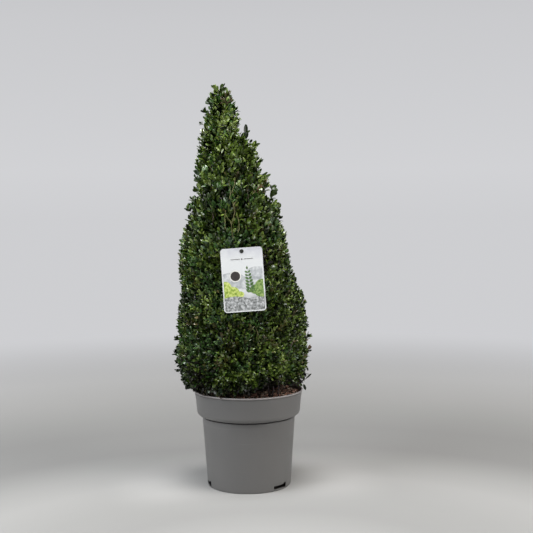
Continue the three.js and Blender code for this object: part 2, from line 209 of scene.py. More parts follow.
def makeFloor(look):
    bm = bmesh.new()
    bmesh.ops.create_grid(bm, x_segments=4, y_segments=4, size=look["floorSize"] / 2)
    floor = placed("floor", meshOf("floor", bm))
    material = bpy.data.materials.new("floor")
    tree, shader = nodesOf(material)
    # painted light: the floor's colour holds a painted pool of light and painted shadow, lifted
    # beside the pot
    paintedPool = distanceNode(tree, look["paintedLightMiddle"], (0, look["paintedLightReach"]))
    away, liftByPot = (
        rampNode(tree, paintedPool, tinted(look[name], look["floorTint"]))
        for name in ("floor", "paintedLiftByPot")
    )
    fromPot = distanceNode(tree, (0, 0, 0), look["potReach"], smooth=True)
    tree.links.new(mixNode(tree, fromPot, liftByPot, away), shader.inputs["Base Color"])
    shader.inputs["Roughness"].default_value = look["floorRoughness"]
    glow = tree.nodes.new("ShaderNodeEmission")  # the backdrop's own brightness
    glow.inputs["Color"].default_value = (*tinted(look["sky"], look["skyTint"])[0][1], 1)
    backdrop = tree.nodes.new("ShaderNodeMixShader")
    fade = distanceNode(tree, (0, 0, 0), look["fade"], smooth=True)
    tree.links.new(fade, backdrop.inputs["Fac"])
    tree.links.new(shader.outputs["BSDF"], backdrop.inputs[1])
    tree.links.new(glow.outputs["Emission"], backdrop.inputs[2])
    tree.links.new(backdrop.outputs["Shader"], tree.nodes["Material Output"].inputs["Surface"])
    floor.data.materials.append(material)


bpy.context.scene.view_settings.view_transform = "Standard"
makeCamera(cameraView)
makeSky(studioLook)
makeLights(studioLook["lights"])
makeFloor(studioLook)
print("camera, floor and lights set")


def addPiece(name, mesh, material, slot, *replaced, smooth=True):
    piece = placed(name, mesh)
    mesh.materials.append(material)
    if smooth:
        mesh.polygons.foreach_set("use_smooth", np.ones(len(mesh.polygons), bool))
    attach(piece, "root")
    if replaced:
        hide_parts(*replaced)


def noiseNode(tree, scale, detail=4, roughness=0.5, stretch=(1, 1, 1)):
    place = tree.nodes.new("ShaderNodeTexCoord")
    mapping = tree.nodes.new("ShaderNodeMapping")
    mapping.inputs["Scale"].default_value = stretch
    texture = tree.nodes.new("ShaderNodeTexNoise")
    texture.inputs["Scale"].default_value = scale
    texture.inputs["Detail"].default_value = detail
    texture.inputs["Roughness"].default_value = roughness
    tree.links.new(place.outputs["Object"], mapping.inputs["Vector"])
    tree.links.new(mapping.outputs["Vector"], texture.inputs["Vector"])
    return texture.outputs["Fac"]


def overlay(tree, source, stops, base, colour):
    # lays a colour over the base, as densely as the stops say
    density = rampNode(tree, source, [(at, (value,) * 3) for at, value in stops])
    return mixNode(tree, density, base, colour)


def bumpInto(tree, shader, source, strength, distance):
    bump = tree.nodes.new("ShaderNodeBump")
    bump.inputs["Strength"].default_value = strength
    bump.inputs["Distance"].default_value = distance
    tree.links.new(source, bump.inputs["Height"])
    tree.links.new(bump.outputs["Normal"], shader.inputs["Normal"])


def mottled(name, look):
    # a finish whose colour follows its grain, and so does its relief where it has one
    material = bpy.data.materials.new(name)
    tree, shader = nodesOf(material)
    texture = noiseNode(tree, *look["grain"])
    tree.links.new(rampNode(tree, texture, look["colours"]), shader.inputs["Base Color"])
    shader.inputs["Roughness"].default_value = look["roughness"]
    if "bump" in look:
        bumpInto(tree, shader, texture, *look["bump"])
    return material


def quarter(middle, radius, start, end, steps):
    # points on an arc in the radius and height plane, angles in degrees
    angles = [math.radians(start + (end - start) * i / steps) for i in range(steps + 1)]
    return [(middle[0] + radius * math.cos(a), middle[1] + radius * math.sin(a)) for a in angles]


def turned(profile, steps):
    # a closed solid of revolution from points of radius and height
    bm = bmesh.new()
    verts = [bm.verts.new((0, -radius, z)) for radius, z in profile]
    edges = [bm.edges.new(pair) for pair in zip(verts, verts[1:])]
    bmesh.ops.spin(
        bm, geom=verts + edges, cent=(0, 0, 0), axis=(0, 0, 1), angle=2 * math.pi,
        steps=steps, use_merge=True,
    )
    bmesh.ops.remove_doubles(bm, verts=bm.verts, dist=1e-6)
    bmesh.ops.recalc_face_normals(bm, faces=bm.faces)
    return bm


# the pot
potLook = {
    "steps": 240,
    "wall": 1.3 * mm,
    "collarHeight": 49.8 * mm,
    "collarFootRadius": 101.2 * mm,
    "fold": 10 * mm,
    "groove": (2.3 * mm, 2.8 * mm),  # height and depth of the shadow line under the collar
    "grooveEdge": ((0.1 * mm, 1.2 * mm), (0.5 * mm, 0.3 * mm)),  # its rounding, inwards and below
    "bodyTopRadius": 91 * mm,
    "baseRadius": 81.5 * mm,
    "baseEdge": 1.5 * mm,
    "bead": 1.5 * mm,
    "neck": (2.4 * mm, 1.2 * mm),  # height and depth of the recess under the bead
    "padRadius": 30 * mm,
    "ringInner": 64 * mm,
    "channel": 2.4 * mm,
    "floorTop": 5 * mm,
    "gutter": 2.6 * mm,
    "slotBearings": (48, -75, 168),
    "slotLevels": (2.8 * mm, 4.2 * mm, 10.2 * mm, 12.4 * mm),  # one end is taller than the rest
    "slotHalf": 11.6,  # degrees
    "slotEnd": 5.6,
    "slotReach": 60 * mm,  # a slot's edges lie further out than this
    "crease": 32,  # degrees
    # finish: scale, detail, roughness and stretch of each grain
    "cloud": (7, 4, 0.5),
    "streaks": (14, 6, 0.62, (0.35, 0.35, 9)),
    "dustGrain": (260, 3, 0.7),
    "fineGrain": (900, 2),
    # then shares of those grains, each with a colour or with the density of one
    "plastic": [
        (0.30, (0.138, 0.136, 0.134)), (0.50, (0.146, 0.143, 0.140)), (0.72, (0.154, 0.150, 0.146)),
    ],
    "scuffs": [(0.60, 0), (0.78, 0.35)],
    "rubbed": (0.21, 0.205, 0.20),
    "specks": [(0.68, 0), (0.76, 0.4)],
    "dust": (0.27, 0.255, 0.235),
    "lipHighlightBand": 10 * mm,
    "paintedHighlight": [(0.0, 0), (0.62, 0), (0.72, 0.9), (1.0, 0.8)],  # painted highlight up the band at the lip
    "lipHighlightColour": (0.36, 0.335, 0.33),
    "inside": (0.012, 0.011, 0.011),  # painted shade, near black, inside the wall round the compost
    "roughness": (0.36, 0.48),
    "bump": (0.12, 0.4 * mm),
}


def wallRise(look, foot):
    # how much wider the wall gets over each metre of height
    return (look["bodyTopRadius"] - look["baseRadius"]) / foot


def potProfile(look, height, rim):
    foot = height - look["collarHeight"]
    wall, fold, bead = look["wall"], look["fold"], look["bead"]
    rise = wallRise(look, foot)
    edge = look["baseEdge"]
    grooveHeight, grooveDepth = look["groove"]
    neckHeight, neckDepth = look["neck"]
    levels = [*look["slotLevels"], foot * 0.3, foot * 0.6, foot * 0.9]
    body = [(look["baseRadius"] + rise * z, z) for z in levels]
    underGroove = look["bodyTopRadius"] - rise * grooveHeight
    foldMiddle = (look["collarFootRadius"] - fold, foot + fold)
    collarTop = rim - bead
    lip = height - 2 * bead
    base = [
        (0, 0),
        (look["padRadius"], 0),
        (look["padRadius"] + look["channel"], look["channel"]),
        (look["ringInner"] - look["channel"], look["channel"]),
        (look["ringInner"], 0),
        (look["ringInner"] + 8 * mm, 0),
    ]
    outside = [
        *quarter((look["baseRadius"] - edge, edge), edge, -90, 0, 4),
        *body,
        *[(underGroove - x, foot - grooveHeight - z) for x, z in look["grooveEdge"]],
        (underGroove - grooveDepth, foot - grooveHeight),
        (underGroove - grooveDepth, foot - 0.2 * mm),
        (look["bodyTopRadius"] - 0.6 * mm, foot),
        *quarter(foldMiddle, fold, -90, 0, 9),
        (collarTop - 2 * neckDepth, lip - neckHeight - 14 * mm),
        (collarTop - 0.3 * mm, lip - neckHeight - 0.6 * mm),
        (collarTop - 0.4 * mm, lip - neckHeight),
        (collarTop - neckDepth, lip - neckHeight + 0.3 * mm),
        (collarTop - neckDepth, lip - 0.3 * mm),
        *quarter((collarTop, lip + bead), bead, -90, 90, 8),
    ]
    inside = [
        (collarTop - 1.0 * mm, height - 0.1 * mm),
        (collarTop - wall, height - 0.7 * mm),
        (collarTop - wall - neckDepth, lip - 8 * mm),
        *quarter(foldMiddle, fold - wall, 0, -90, 5),
        (underGroove - grooveDepth - wall, foot + wall),
        (underGroove - grooveDepth - wall, foot - grooveHeight - wall),
        (underGroove - wall, foot - grooveHeight - 2 * wall),
        *[(radius - wall, z) for radius, z in reversed(body)],
        (look["baseRadius"] - wall, look["gutter"]),
        (look["ringInner"] + 10 * mm, look["gutter"]),
        (look["ringInner"] + 6 * mm, look["floorTop"]),
        (0, look["floorTop"]),
    ]
    return base + outside + inside


def inSlot(look, centre):
    lowest, low, high, highest = look["slotLevels"]
    if centre.xy.length < look["baseRadius"] - 2 * look["wall"] or not lowest < centre.z < highest:
        return False
    bearing = math.degrees(math.atan2(centre.x, -centre.y))
    for middle in look["slotBearings"]:
        aside = (bearing - middle + 180) % 360 - 180
        tallEnd = aside > look["slotHalf"] - look["slotEnd"]
        if abs(aside) < look["slotHalf"] and (tallEnd or low < centre.z < high):
            return True
    return False


def potMaterial(look):
    material = bpy.data.materials.new("pot_plastic")
    tree, shader = nodesOf(material)
    cloud, streaks, dust, fine = (
        noiseNode(tree, *look[name]) for name in ("cloud", "streaks", "dustGrain", "fineGrain")
    )
    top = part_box("pot")[1].z
    # the band at the top of the lip that takes the painted highlight
    lip = rangeNode(tree, heightNode(tree), (top - look["lipHighlightBand"], top))
    shadeWithin = tree.nodes.new("ShaderNodeAttribute")
    shadeWithin.attribute_name = "shadeWithin"
    colour = rampNode(tree, cloud, look["plastic"])
    colour = overlay(tree, streaks, look["scuffs"], colour, look["rubbed"])
    colour = overlay(tree, dust, look["specks"], colour, look["dust"])
    # painted highlight along the top of the lip
    colour = overlay(tree, lip, look["paintedHighlight"], colour, look["lipHighlightColour"])
    # painted shade inside the pot's wall
    colour = mixNode(tree, shadeWithin.outputs["Fac"], colour, look["inside"])
    tree.links.new(colour, shader.inputs["Base Color"])
    tree.links.new(rangeNode(tree, streaks, end=look["roughness"]), shader.inputs["Roughness"])
    bumpInto(tree, shader, fine, *look["bump"])
    return material


def makePot(look):
    low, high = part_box("pot")
    foot = high.z - look["collarHeight"]
    bm = turned(potProfile(look, high.z, (high.x - low.x) / 2), look["steps"])
    slots = [face for face in bm.faces if inSlot(look, face.calc_center_median())]
    bmesh.ops.delete(bm, geom=slots, context="FACES")
    for bearing in look["slotBearings"]:
        way = Vector((math.sin(math.radians(bearing)), -math.cos(math.radians(bearing)), 0))
        rims = [edge for edge in bm.edges
                if edge.is_boundary and edge.verts[0].co.dot(way) > look["slotReach"]]
        bmesh.ops.bridge_loops(bm, edges=rims)
    bmesh.ops.recalc_face_normals(bm, faces=bm.faces)
    for edge in bm.edges:
        edge.smooth = edge.calc_face_angle(0) < math.radians(look["crease"])
    # marks the inner wall beside the compost, where the painted shade goes
    shadeWithin = bm.verts.layers.float.new("shadeWithin")
    for vert in bm.verts:
        skin = look["baseRadius"] + wallRise(look, foot) * vert.co.z - look["wall"] / 2
        besideCompost = look["gutter"] / 2 < vert.co.z < high.z - look["collarHeight"] / 2
        vert[shadeWithin] = besideCompost and look["ringInner"] < vert.co.xy.length < skin
    addPiece("pot_body", meshOf("pot_body", bm), potMaterial(look), "pot_plastic", "pot")


makePot(potLook)
print("pot turned")


# compost and the chips of bark on it
soilLook = {
    "seed": 31,
    "bottom": 6 * mm,
    "steps": 120,
    "rings": 46,
    "drop": 2.6 * mm,  # how far the surface falls towards the wall
    "flat": 0.55,  # the share of the way to the wall before it falls
    "sunk": 1.2 * mm,
    "clods": (1.6 * mm, 55),  # height, and how many to a metre
    "crumbs": (0.6 * mm, 260),
    "grain": (160, 6, 0.65),
    "colours": [
        (0.30, (0.040, 0.026, 0.020)), (0.50, (0.130, 0.074, 0.052)), (0.72, (0.28, 0.155, 0.105)),
    ],
    "roughness": 0.92,
    "bump": (0.9, 1.6 * mm),
    "chips": 1500,
    "chipLength": (3 * mm, 13 * mm),
    "chipShare": 0.5,  # the least share of that length
    "chipWidth": (0.3, 0.65),  # share of the length
    "chipThickness": (1, 3),  # millimetres
    "chipTilt": (0.28, 0.3),  # of its length and of its face
    "chipKnocks": (-0.45, 0.15),  # how far corners are knocked in or stand out, share of the size
    "chipLift": 0.8 * mm,
    "bigChip": (2.2 * mm, 0.08),  # thickness and tilt of those that have a place of their own
    "chipRoughness": 0.8,
    "chipTones": {
        "chips_red": ((0.40, 0.215, 0.155), 0.34),
        "chips_brown": ((0.31, 0.205, 0.155), 0.32),
        "chips_dark": ((0.075, 0.053, 0.042), 0.20),
        "chips_pale": ((0.62, 0.50, 0.39), 0.14),
    },
}


def soilHeight(look, x, y, crest, edge):
    reach = math.hypot(x, y) / edge
    drop = look["drop"] * max(0.0, reach - look["flat"]) / (1 - look["flat"])
    (clods, clodScale), (crumbs, crumbScale) = look["clods"], look["crumbs"]
    rough = noise.fractal(Vector((x, y, 0.3)) * clodScale, 0.7, 2.1, 4)
    fine = noise.noise(Vector((x, y, 7.1)) * crumbScale)
    return crest - drop - look["sunk"] + clods * rough + crumbs * fine


def makeSoil(look, pot):
    low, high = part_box("potting_soil")
    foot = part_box("pot")[1].z - pot["collarHeight"]
    edge = (high.x - low.x) / 2 + 1.2 * mm
    inner = 2 * pot["wall"]
    waist = pot["groove"][1] + inner
    profile = [
        (0, look["bottom"]),
        (pot["baseRadius"] - 5 * inner, look["bottom"]),
        (pot["baseRadius"] - inner, 6 * inner),
        (pot["bodyTopRadius"] - waist, foot - 2 * inner),
        (pot["bodyTopRadius"] - waist, foot + inner),
        (edge - 3 * mm, foot + pot["fold"] + inner),
        *[(edge * (1 - i / look["rings"]), high.z) for i in range(look["rings"] + 1)],
    ]
    bm = turned(profile, look["steps"])
    for vert in bm.verts:
        if vert.co.z > high.z - 0.5 * mm:
            vert.co.z = soilHeight(look, vert.co.x, vert.co.y, high.z, edge)
    material = mottled("bark_compost", look)
    addPiece("compost", meshOf("compost", bm), material, "bark_compost", "potting_soil")
    return high.z, edge


soilCrest, soilEdge = makeSoil(soilLook, potLook)


def unit(vectors):
    return vectors / np.maximum(np.linalg.norm(vectors, axis=-1, keepdims=True), 1e-12)


def joinedMesh(name, points, faces, ribbed=0):
    # many copies of one small shape as one mesh. points: copies x verts x 3, faces: one copy's,
    # all with the same number of corners; edges between the first ribbed verts are creases
    copies, perCopy = points.shape[:2]
    faces = np.asarray(faces)
    corners = faces.shape[1]
    indices = (faces[None] + (np.arange(copies) * perCopy)[:, None, None]).reshape(-1)
    mesh = bpy.data.meshes.new(name)
    mesh.vertices.add(copies * perCopy)
    mesh.vertices.foreach_set("co", points.reshape(-1).astype(np.float32))
    mesh.loops.add(len(indices))
    mesh.loops.foreach_set("vertex_index", indices.astype(np.int32))
    mesh.polygons.add(len(indices) // corners)
    mesh.polygons.foreach_set("loop_start", np.arange(0, len(indices), corners, dtype=np.int32))
    mesh.update(calc_edges=True)
    mesh.validate()
    if ribbed:
        ends = np.empty(len(mesh.edges) * 2, np.int32)
        mesh.edges.foreach_get("vertices", ends)
        crease = (ends.reshape(-1, 2) % perCopy < ribbed).all(1)
        mesh.attributes.new("sharp_edge", "BOOLEAN", "EDGE").data.foreach_set("value", crease)
    return mesh


def plainMaterial(name, colour, roughness, coat=0.0, coatRoughness=0.22, gloss=0.5):
    material = bpy.data.materials.new(name)
    shader = nodesOf(material)[1]
    shader.inputs["Base Color"].default_value = (*colour, 1)
    shader.inputs["Roughness"].default_value = roughness
    shader.inputs["Coat Weight"].default_value = coat
    shader.inputs["Coat Roughness"].default_value = coatRoughness
    shader.inputs["Specular IOR Level"].default_value = gloss
    return material


# a chip before its corners are knocked about
chipCube = {
    "verts": np.array([(x, y, z) for z in (-0.5, 0.5) for y in (-0.5, 0.5) for x in (-0.5, 0.5)]),
    "faces": [(0, 2, 3, 1), (4, 5, 7, 6), (0, 1, 5, 4), (2, 6, 7, 3), (0, 4, 6, 2), (1, 3, 7, 5)],
}

bigChips = [
    # place, bearing of its length in degrees, length, width, tone; in millimetres
    ((54, -76), -38, 15, 4.0, "chips_pale"),
    ((82, -50), 20, 9, 4.5, "chips_pale"),
    ((71, -62), 75, 8, 4.0, "chips_red"),
    ((40, -88), 10, 10, 4.0, "chips_brown"),
    ((-20, -92), 60, 9, 4.5, "chips_red"),
    ((20, 90), 30, 14, 4.0, "chips_pale"),
    ((-70, 60), -20, 12, 5.0, "chips_red"),
]


def makeChips(look, crest, edge):
    rng = np.random.default_rng(look["seed"])
    count = look["chips"]
    long = rng.uniform(*look["chipLength"], count) * rng.uniform(look["chipShare"], 1, count)
    reach = (edge - 3 * mm - long / 2) * np.sqrt(rng.random(count))  # whole inside the wall
    angle = rng.random(count) * 2 * math.pi
    x, y = reach * np.cos(angle), reach * np.sin(angle)
    wide = long * rng.uniform(*look["chipWidth"], count)
    size = np.stack([long, wide, rng.uniform(*look["chipThickness"], count) * mm], 1)
    lie = rng.random(count) * 2 * math.pi
    tilt, roll = look["chipTilt"]
    tip = rng.normal(0, tilt, count)
    names = list(look["chipTones"])
    tone = rng.choice(len(names), count, p=[share for _, share in look["chipTones"].values()])
    thickness, bigTip = look["bigChip"]
    for i, (place, bearing, length, width, name) in enumerate(bigChips):
        x[i], y[i] = np.array(place) * mm
        size[i] = length * mm, width * mm, thickness
        lie[i], tip[i] = math.radians(bearing), bigTip
        tone[i] = names.index(name)
    z = np.array([soilHeight(look, a, b, crest, edge) for a, b in zip(x, y)])
    along = unit(np.stack([np.cos(lie), np.sin(lie), tip], 1))
    up = unit(np.stack([rng.normal(0, roll, count), rng.normal(0, roll, count), np.ones(count)], 1))
    across = unit(np.cross(up, along))
    up = np.cross(along, across)
    shape = chipCube["verts"][None] * (1 + rng.uniform(*look["chipKnocks"], (count, 8, 3)))
    shape = shape * size[:, None]
    points = sum(shape[..., k:k + 1] * way[:, None] for k, way in enumerate((along, across, up)))
    points = points + np.stack([x, y, z + look["chipLift"]], 1)[:, None]
    for index, name in enumerate(names):
        mesh = joinedMesh(name, points[tone == index], chipCube["faces"])
        material = plainMaterial(name, look["chipTones"][name][0], look["chipRoughness"])
        addPiece(name, mesh, material, "bark_compost", smooth=False)


makeChips(soilLook, soilCrest, soilEdge)
print("compost and bark chips laid")


# limbs: trunk and basal stems with the relief of their bark
barkLook = {
    "sides": 28,
    "step": 3.5 * mm,
    "furrows": (0.10, 2.6, 26),  # share of the radius, how close round the limb and along it
    "knots": (0.14, 60),
    "sunk": 2.5 * mm,  # the feet stand this deep in the compost
    "grain": (120, 6, 0.6, (1, 1, 0.16)),
    "colours": [
        (0.32, (0.032, 0.022, 0.019)), (0.52, (0.085, 0.060, 0.046)), (0.74, (0.190, 0.150, 0.115)),
    ],
    "roughness": 0.86,
    "bump": (0.7, 1.2 * mm),
}


def ringsOf(node):
    # a limb's level rings as centre and radius, from the foot up
    points = np.array([v.co for v in nodes[node].data.vertices])
    rings = []
    for height in np.unique(np.round(points[:, 2], 5)):
        ring = points[np.abs(points[:, 2] - height) < 2e-5]
        centre = ring.mean(0)
        radius = np.linalg.norm(ring - centre, axis=1).max()
        apart = not rings or height - rings[-1][0][2] > 0.5 * mm
        if len(ring) > 8 and radius > 0.5 * mm and apart:
            rings.append((centre, radius))
    return rings


def smoothPath(points, radii, step):
    points, radii = np.asarray(points, float), np.asarray(radii, float)
    lengths = np.concatenate([[0], np.cumsum(np.linalg.norm(np.diff(points, axis=0), axis=1))])
    count = max(3, int(lengths[-1] / step) + 1)
    at = np.linspace(0, lengths[-1], count)
    path = np.stack([np.interp(at, lengths, points[:, k]) for k in range(3)], 1)
    for _ in range(3):
        path[1:-1] = path[1:-1] * 0.5 + (path[:-2] + path[2:]) * 0.25
    return path, np.interp(at, lengths, radii)


def barkLimb(name, path, thickness, look, material, node):
    bm = bmesh.new()
    bmesh.ops.create_circle(bm, cap_ends=True, segments=look["sides"], radius=1)
    loop = sorted(bm.verts, key=lambda v: math.atan2(v.co.y, v.co.x))
    around = [math.atan2(v.co.y, v.co.x) for v in loop]
    edges = bm.edges[:]
    side = Vector((1, 0, 0))
    (furrow, aroundScale, alongScale), (knot, knotScale) = look["furrows"], look["knots"]
    for i, (centre, radius) in enumerate(zip(path, thickness)):
        ahead = Vector(path[min(i + 1, len(path) - 1)] - path[max(i - 1, 0)]).normalized()
        if i == 0:
            ahead = Vector((0, 0, 1))
        side = (side - ahead * side.dot(ahead)).normalized()
        other = ahead.cross(side)
        if i:
            made = bmesh.ops.extrude_edge_only(bm, edges=edges)["geom"]
            fresh = {v for v in made if isinstance(v, bmesh.types.BMVert)}
            edges = [e for e in made if isinstance(e, bmesh.types.BMEdge)]
            loop = [
                next(e.other_vert(old) for e in old.link_edges if e.other_vert(old) in fresh)
                for old in loop
            ]
        for vert, angle in zip(loop, around):
            x, y = math.cos(angle), math.sin(angle)
            out = side * x + other * y
            ridge = noise.noise(Vector((x * aroundScale, y * aroundScale, centre[2] * alongScale)))
            lump = noise.noise(Vector(centre) * knotScale + out * 0.8)
            vert.co = Vector(centre) + out * radius * (1 + furrow * ridge + knot * lump)
    bmesh.ops.contextual_create(bm, geom=edges)
    bmesh.ops.recalc_face_normals(bm, faces=bm.faces)
    addPiece(name, meshOf(name, bm), material, "bark", node)


def makeLimbs(look):
    bark = mottled("bark", look)
    places = {}
    for node in ["trunk", *stemNodes]:
        centres, radii = zip(*ringsOf(node))
        centres = [centres[0] - np.array([0, 0, look["sunk"]]), *centres[1:]]
        path, thickness = smoothPath(centres, radii, look["step"])
        barkLimb(f"{node}_bark", path, thickness, look, bark, node)
        places[node] = path
    return places


limbPaths = makeLimbs(barkLook)
trunkPath = limbPaths["trunk"]
limbPlaces = np.concatenate([path[::2] for path in limbPaths.values()])
print("trunk and basal stems barked:", len(limbPlaces), "places for branches")


# the card's place, which the foliage keeps clear of
cardLook = {
    "width": 77.4 * mm,
    "height": 118 * mm,
    "thickness": 0.7 * mm,
    "corner": 6 * mm,
    "hole": (0.5 * mm, 52.5 * mm),
    "holeRadius": 2.9 * mm,
    "turn": math.radians(3.6),
    "lean": math.radians(8.6),
    "clear": 1.5 * mm,  # room round its outline
}

cardMiddle = sum(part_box("label_card"), Vector()) / 2
cardPlace = (
    Matrix.Translation(cardMiddle)
    @ Matrix.Rotation(math.pi / 2 - cardLook["lean"], 4, "X")
    @ Matrix.Rotation(cardLook["turn"], 4, "Z")
)


def onCard(points):
    # how far points lie inside the card's outline, and how far in front of it
    inverse = np.array(cardPlace.inverted())
    local = points @ inverse[:3, :3].T + inverse[:3, 3]
    half = np.array([cardLook["width"], cardLook["height"]]) / 2 + cardLook["clear"]
    return (half - np.abs(local[..., :2])).min(-1), local[..., 2]


# where the foliage ends: points spread over the outer faces of the masses
crownLook = {
    "seed": 417,
    "spacing": (7.0 * mm, 8.8 * mm),  # in the dense lower part, in the looser upper part
    "looseFrom": (0.40, 0.52),  # heights between which the crown turns from dense to loose
    "candidates": 90000,
    "reachOut": 4 * mm,  # a face with another solid this near is an inner one
}


def looseness(z):
    low, high = crownLook["looseFrom"]
    share = np.clip((z - low) / (high - low), 0, 1)
    return share * share * (3 - 2 * share)


def blend(pair, share):
    return pair[0] + (pair[1] - pair[0]) * share


def rangeAt(pair, share):
    # the least and the most, of ranges given for the dense and the loose part
    return [blend(ends, share) for ends in zip(*pair)]


def cornersOf(name):
    mesh = nodes[name].data
    mesh.calc_loop_triangles()
    points = np.array([v.co for v in mesh.vertices])
    return points[np.array([t.vertices for t in mesh.loop_triangles])]


def outerSamples(look):
    rng = np.random.default_rng(look["seed"])
    corners = np.concatenate([cornersOf(name) for name in massNodes])
    solid = np.concatenate([corners, *[cornersOf(name) for name in ["trunk", *stemNodes]]])
    tree = BVHTree.FromPolygons(
        [Vector(p) for p in solid.reshape(-1, 3)],
        [(i, i + 1, i + 2) for i in range(0, len(solid) * 3, 3)],
    )
    normals = np.cross(corners[:, 1] - corners[:, 0], corners[:, 2] - corners[:, 0])
    area = np.linalg.norm(normals, axis=1)
    pick = rng.choice(len(corners), look["candidates"], p=area / area.sum())
    u, v = rng.random((2, look["candidates"], 1))
    flip = u + v > 1
    u, v = np.where(flip, 1 - u, u), np.where(flip, 1 - v, v)
    a, b, c = corners[pick, 0], corners[pick, 1], corners[pick, 2]
    places = a + u * (b - a) + v * (c - a)
    facing = unit(normals)[pick]
    apart = blend(look["spacing"], looseness(places[:, 2]))
    cell = max(look["spacing"])
    keys = np.floor(places / cell).astype(int)
    around = [(dx, dy, dz) for dx in (-1, 0, 1) for dy in (-1, 0, 1) for dz in (-1, 0, 1)]
    kept, grid = [], {}
    for i, (x, y, z) in enumerate(keys):
        near = [j for dx, dy, dz in around for j in grid.get((x + dx, y + dy, z + dz), ())]
        if near and (((places[near] - places[i]) ** 2).sum(1) < apart[i] ** 2).any():
            continue
        start = Vector(places[i] + facing[i] * 0.1 * mm)
        if tree.ray_cast(start, Vector(facing[i]), look["reachOut"])[0] is None:
            grid.setdefault((x, y, z), []).append(i)
            kept.append(i)
    return places[kept], facing[kept]


# shoots: how each one stands at the surface
shootLook = {
    "seed": 52,
    "sink": ((1.5 * mm, 4.5 * mm), (1 * mm, 8 * mm)),  # under the outline, dense and loose part
    "hollow": (3 * mm, 13 * mm),  # depth of the hollows between clumps
    "clump": (30, 1.8),  # clumps to a metre, and how sharply they end
    "spire": (0.70, 0.45),  # above this height shoots sink only this share
    "outward": 0.8,  # pull of the open air
    "lift": 0.95,  # pull of the light
    "skirtLift": 0.15,  # the share of that pull at the skirt
    "skirt": (0.19, 0.27),  # between these heights shoots turn from hanging to climbing
    "scatter": 0.27,
    "behindCard": (6 * mm, 7 * mm),  # shoots this near the card's outline stay this far behind it
    "length": (30 * mm, 46 * mm),
    "slant": (0.75, 0.2),  # shares of the length, along its heading and inwards
    "leaf": (11.0 * mm, 14.8 * mm),
    "leafRange": (0.88, 1.12),
    "pairs": 6,
    "innerShare": (0.12, 0.40),  # extra shoots inside, dense and loose part
    "innerDepth": (14 * mm, 26 * mm),
}

hollows = [
    # middle, reach and depth of dark recesses, in millimetres
    ((-62, -83, 516), 17, 12),
    ((43, -62, 546), 14, 12),
    ((53, -84, 446), 16, 12),
    ((-41, -50, 617), 12, 7),
    ((-44, -64, 560), 13, 10),
    ((-12, -46, 650), 9, 7),
    ((-8, -10, 674), 11, 11),
    ((-70, -84, 440), 12, 12),
    ((60, 70, 500), 16, 12),
    ((-80, 50, 560), 14, 12),
    ((-128, -10, 292), 18, 7),
    ((-130, -10, 262), 20, 5),
    ((-126, -14, 234), 20, 4),
    ((-112, -40, 214), 18, 4),
]

thinned = [
    # middle and reaches in millimetres, share of the shoots left out
    ((110, -10, 221), (11, 130, 10), 0.7),
    ((90, -30, 216), (9, 130, 8), 1),
    ((117, -10, 203), (11, 130, 15), 1),
    ((66, -50, 190), (40, 95, 20), 1),
    ((60, -10, 560), (9, 90, 10), 1),
    ((-51, -10, 781), (14, 30, 7), 1),
    ((-102, -34, 202), (16, 30, 12), 0.5),
    ((50, -10, 577), (17, 90, 18), 1),
    ((66, -10, 546), (10, 90, 9), 1),
    ((26, -20, 600), (8, 40, 8), 0.7),
    ((-24, -10, 712), (6, 30, 6), 0.6),
    ((-54, -10, 745), (5, 30, 6), 0.6),
    ((-70, -10, 728), (5, 30, 6), 0.6),
]

strays = [
    # where it leaves the clipped outline, its tip, leaf length, pairs, tone; in millimetres
    ((-54, 0, 754), (-56, 0, 764), 12, 3, "dark"),
    ((-46, -2, 754), (-44, -2, 768), 12, 3, "dark"),
    ((-38, 0, 742), (-30, -2, 748), 13, 3, "bronze"),
    ((-30, 2, 724), (-20, 0, 732), 13, 3, "dark"),
    ((-65, 0, 742), (-70, 0, 750), 13, 3, "dark"),
    ((-70, 0, 720), (-79, 0, 728), 13, 3, "dark"),
    ((-76, 0, 698), (-85, 2, 705), 12, 2, "dark"),
    ((-80, 0, 666), (-89, 0, 674), 13, 2, "dark"),
    ((-90, -14, 568), (-97, -16, 578), 13, 3, "dark"),
    ((-96, -14, 548), (-104, -16, 558), 13, 3, "dark"),
    ((-104, -14, 530), (-111, -16, 540), 13, 3, "dark"),
    ((-100, 2, 538), (-107, 0, 545), 14, 3, "dark"),
    ((10, 0, 655), (18, 0, 664), 14, 3, "leafy"),
    ((18, 0, 624), (26, 0, 632), 14, 3, "dark"),
    ((59, 0, 512), (65, 0, 521), 11, 3, "deep"),
    ((88, -10, 376), (96, -12, 386), 12, 3, "mid"),
    ((90, -4, 366), (97, -6, 376), 12, 3, "leafy"),
    ((106, 0, 280), (119, 0, 289), 12, 3, "dark"),
    ((106, 0, 256), (119, 2, 264), 12, 3, "brown"),
    ((66, -60, 202), (88, -56, 214), 9, 2, "dark"),
    ((-122, 4, 300), (-134, 4, 308), 12, 2, "dark"),
    ((-122, 0, 276), (-137, 0, 287), 15, 3, "deep"),
    ((-122, -8, 266), (-136, -10, 272), 12, 2, "dark"),
    ((-124, 0, 250), (-140, 0, 259), 14, 3, "deep"),
    ((-122, 0, 236), (-138, 0, 241), 14, 3, "deep"),
    ((-120, 0, 226), (-136, 0, 224), 14, 2, "deep"),
    ((-112, -8, 214), (-123, -10, 207), 15, 3, "deep"),
    ((-98, -34, 207), (-107, -40, 201), 13, 3, "deep"),
    ((-66, -74, 212), (-71, -80, 202), 12, 3, "mint"),
    ((-46, -88, 212), (-49, -94, 202), 11, 3, "mint"),
]


def thinOut(rng, surface, outward):
    stays = np.ones(len(surface), bool)
    for middle, reach, share in thinned:
        away = np.linalg.norm((surface / mm - middle) / reach, axis=1)
        stays &= rng.random(len(surface)) > share * np.exp(-away ** 4)
    return surface[stays], outward[stays]


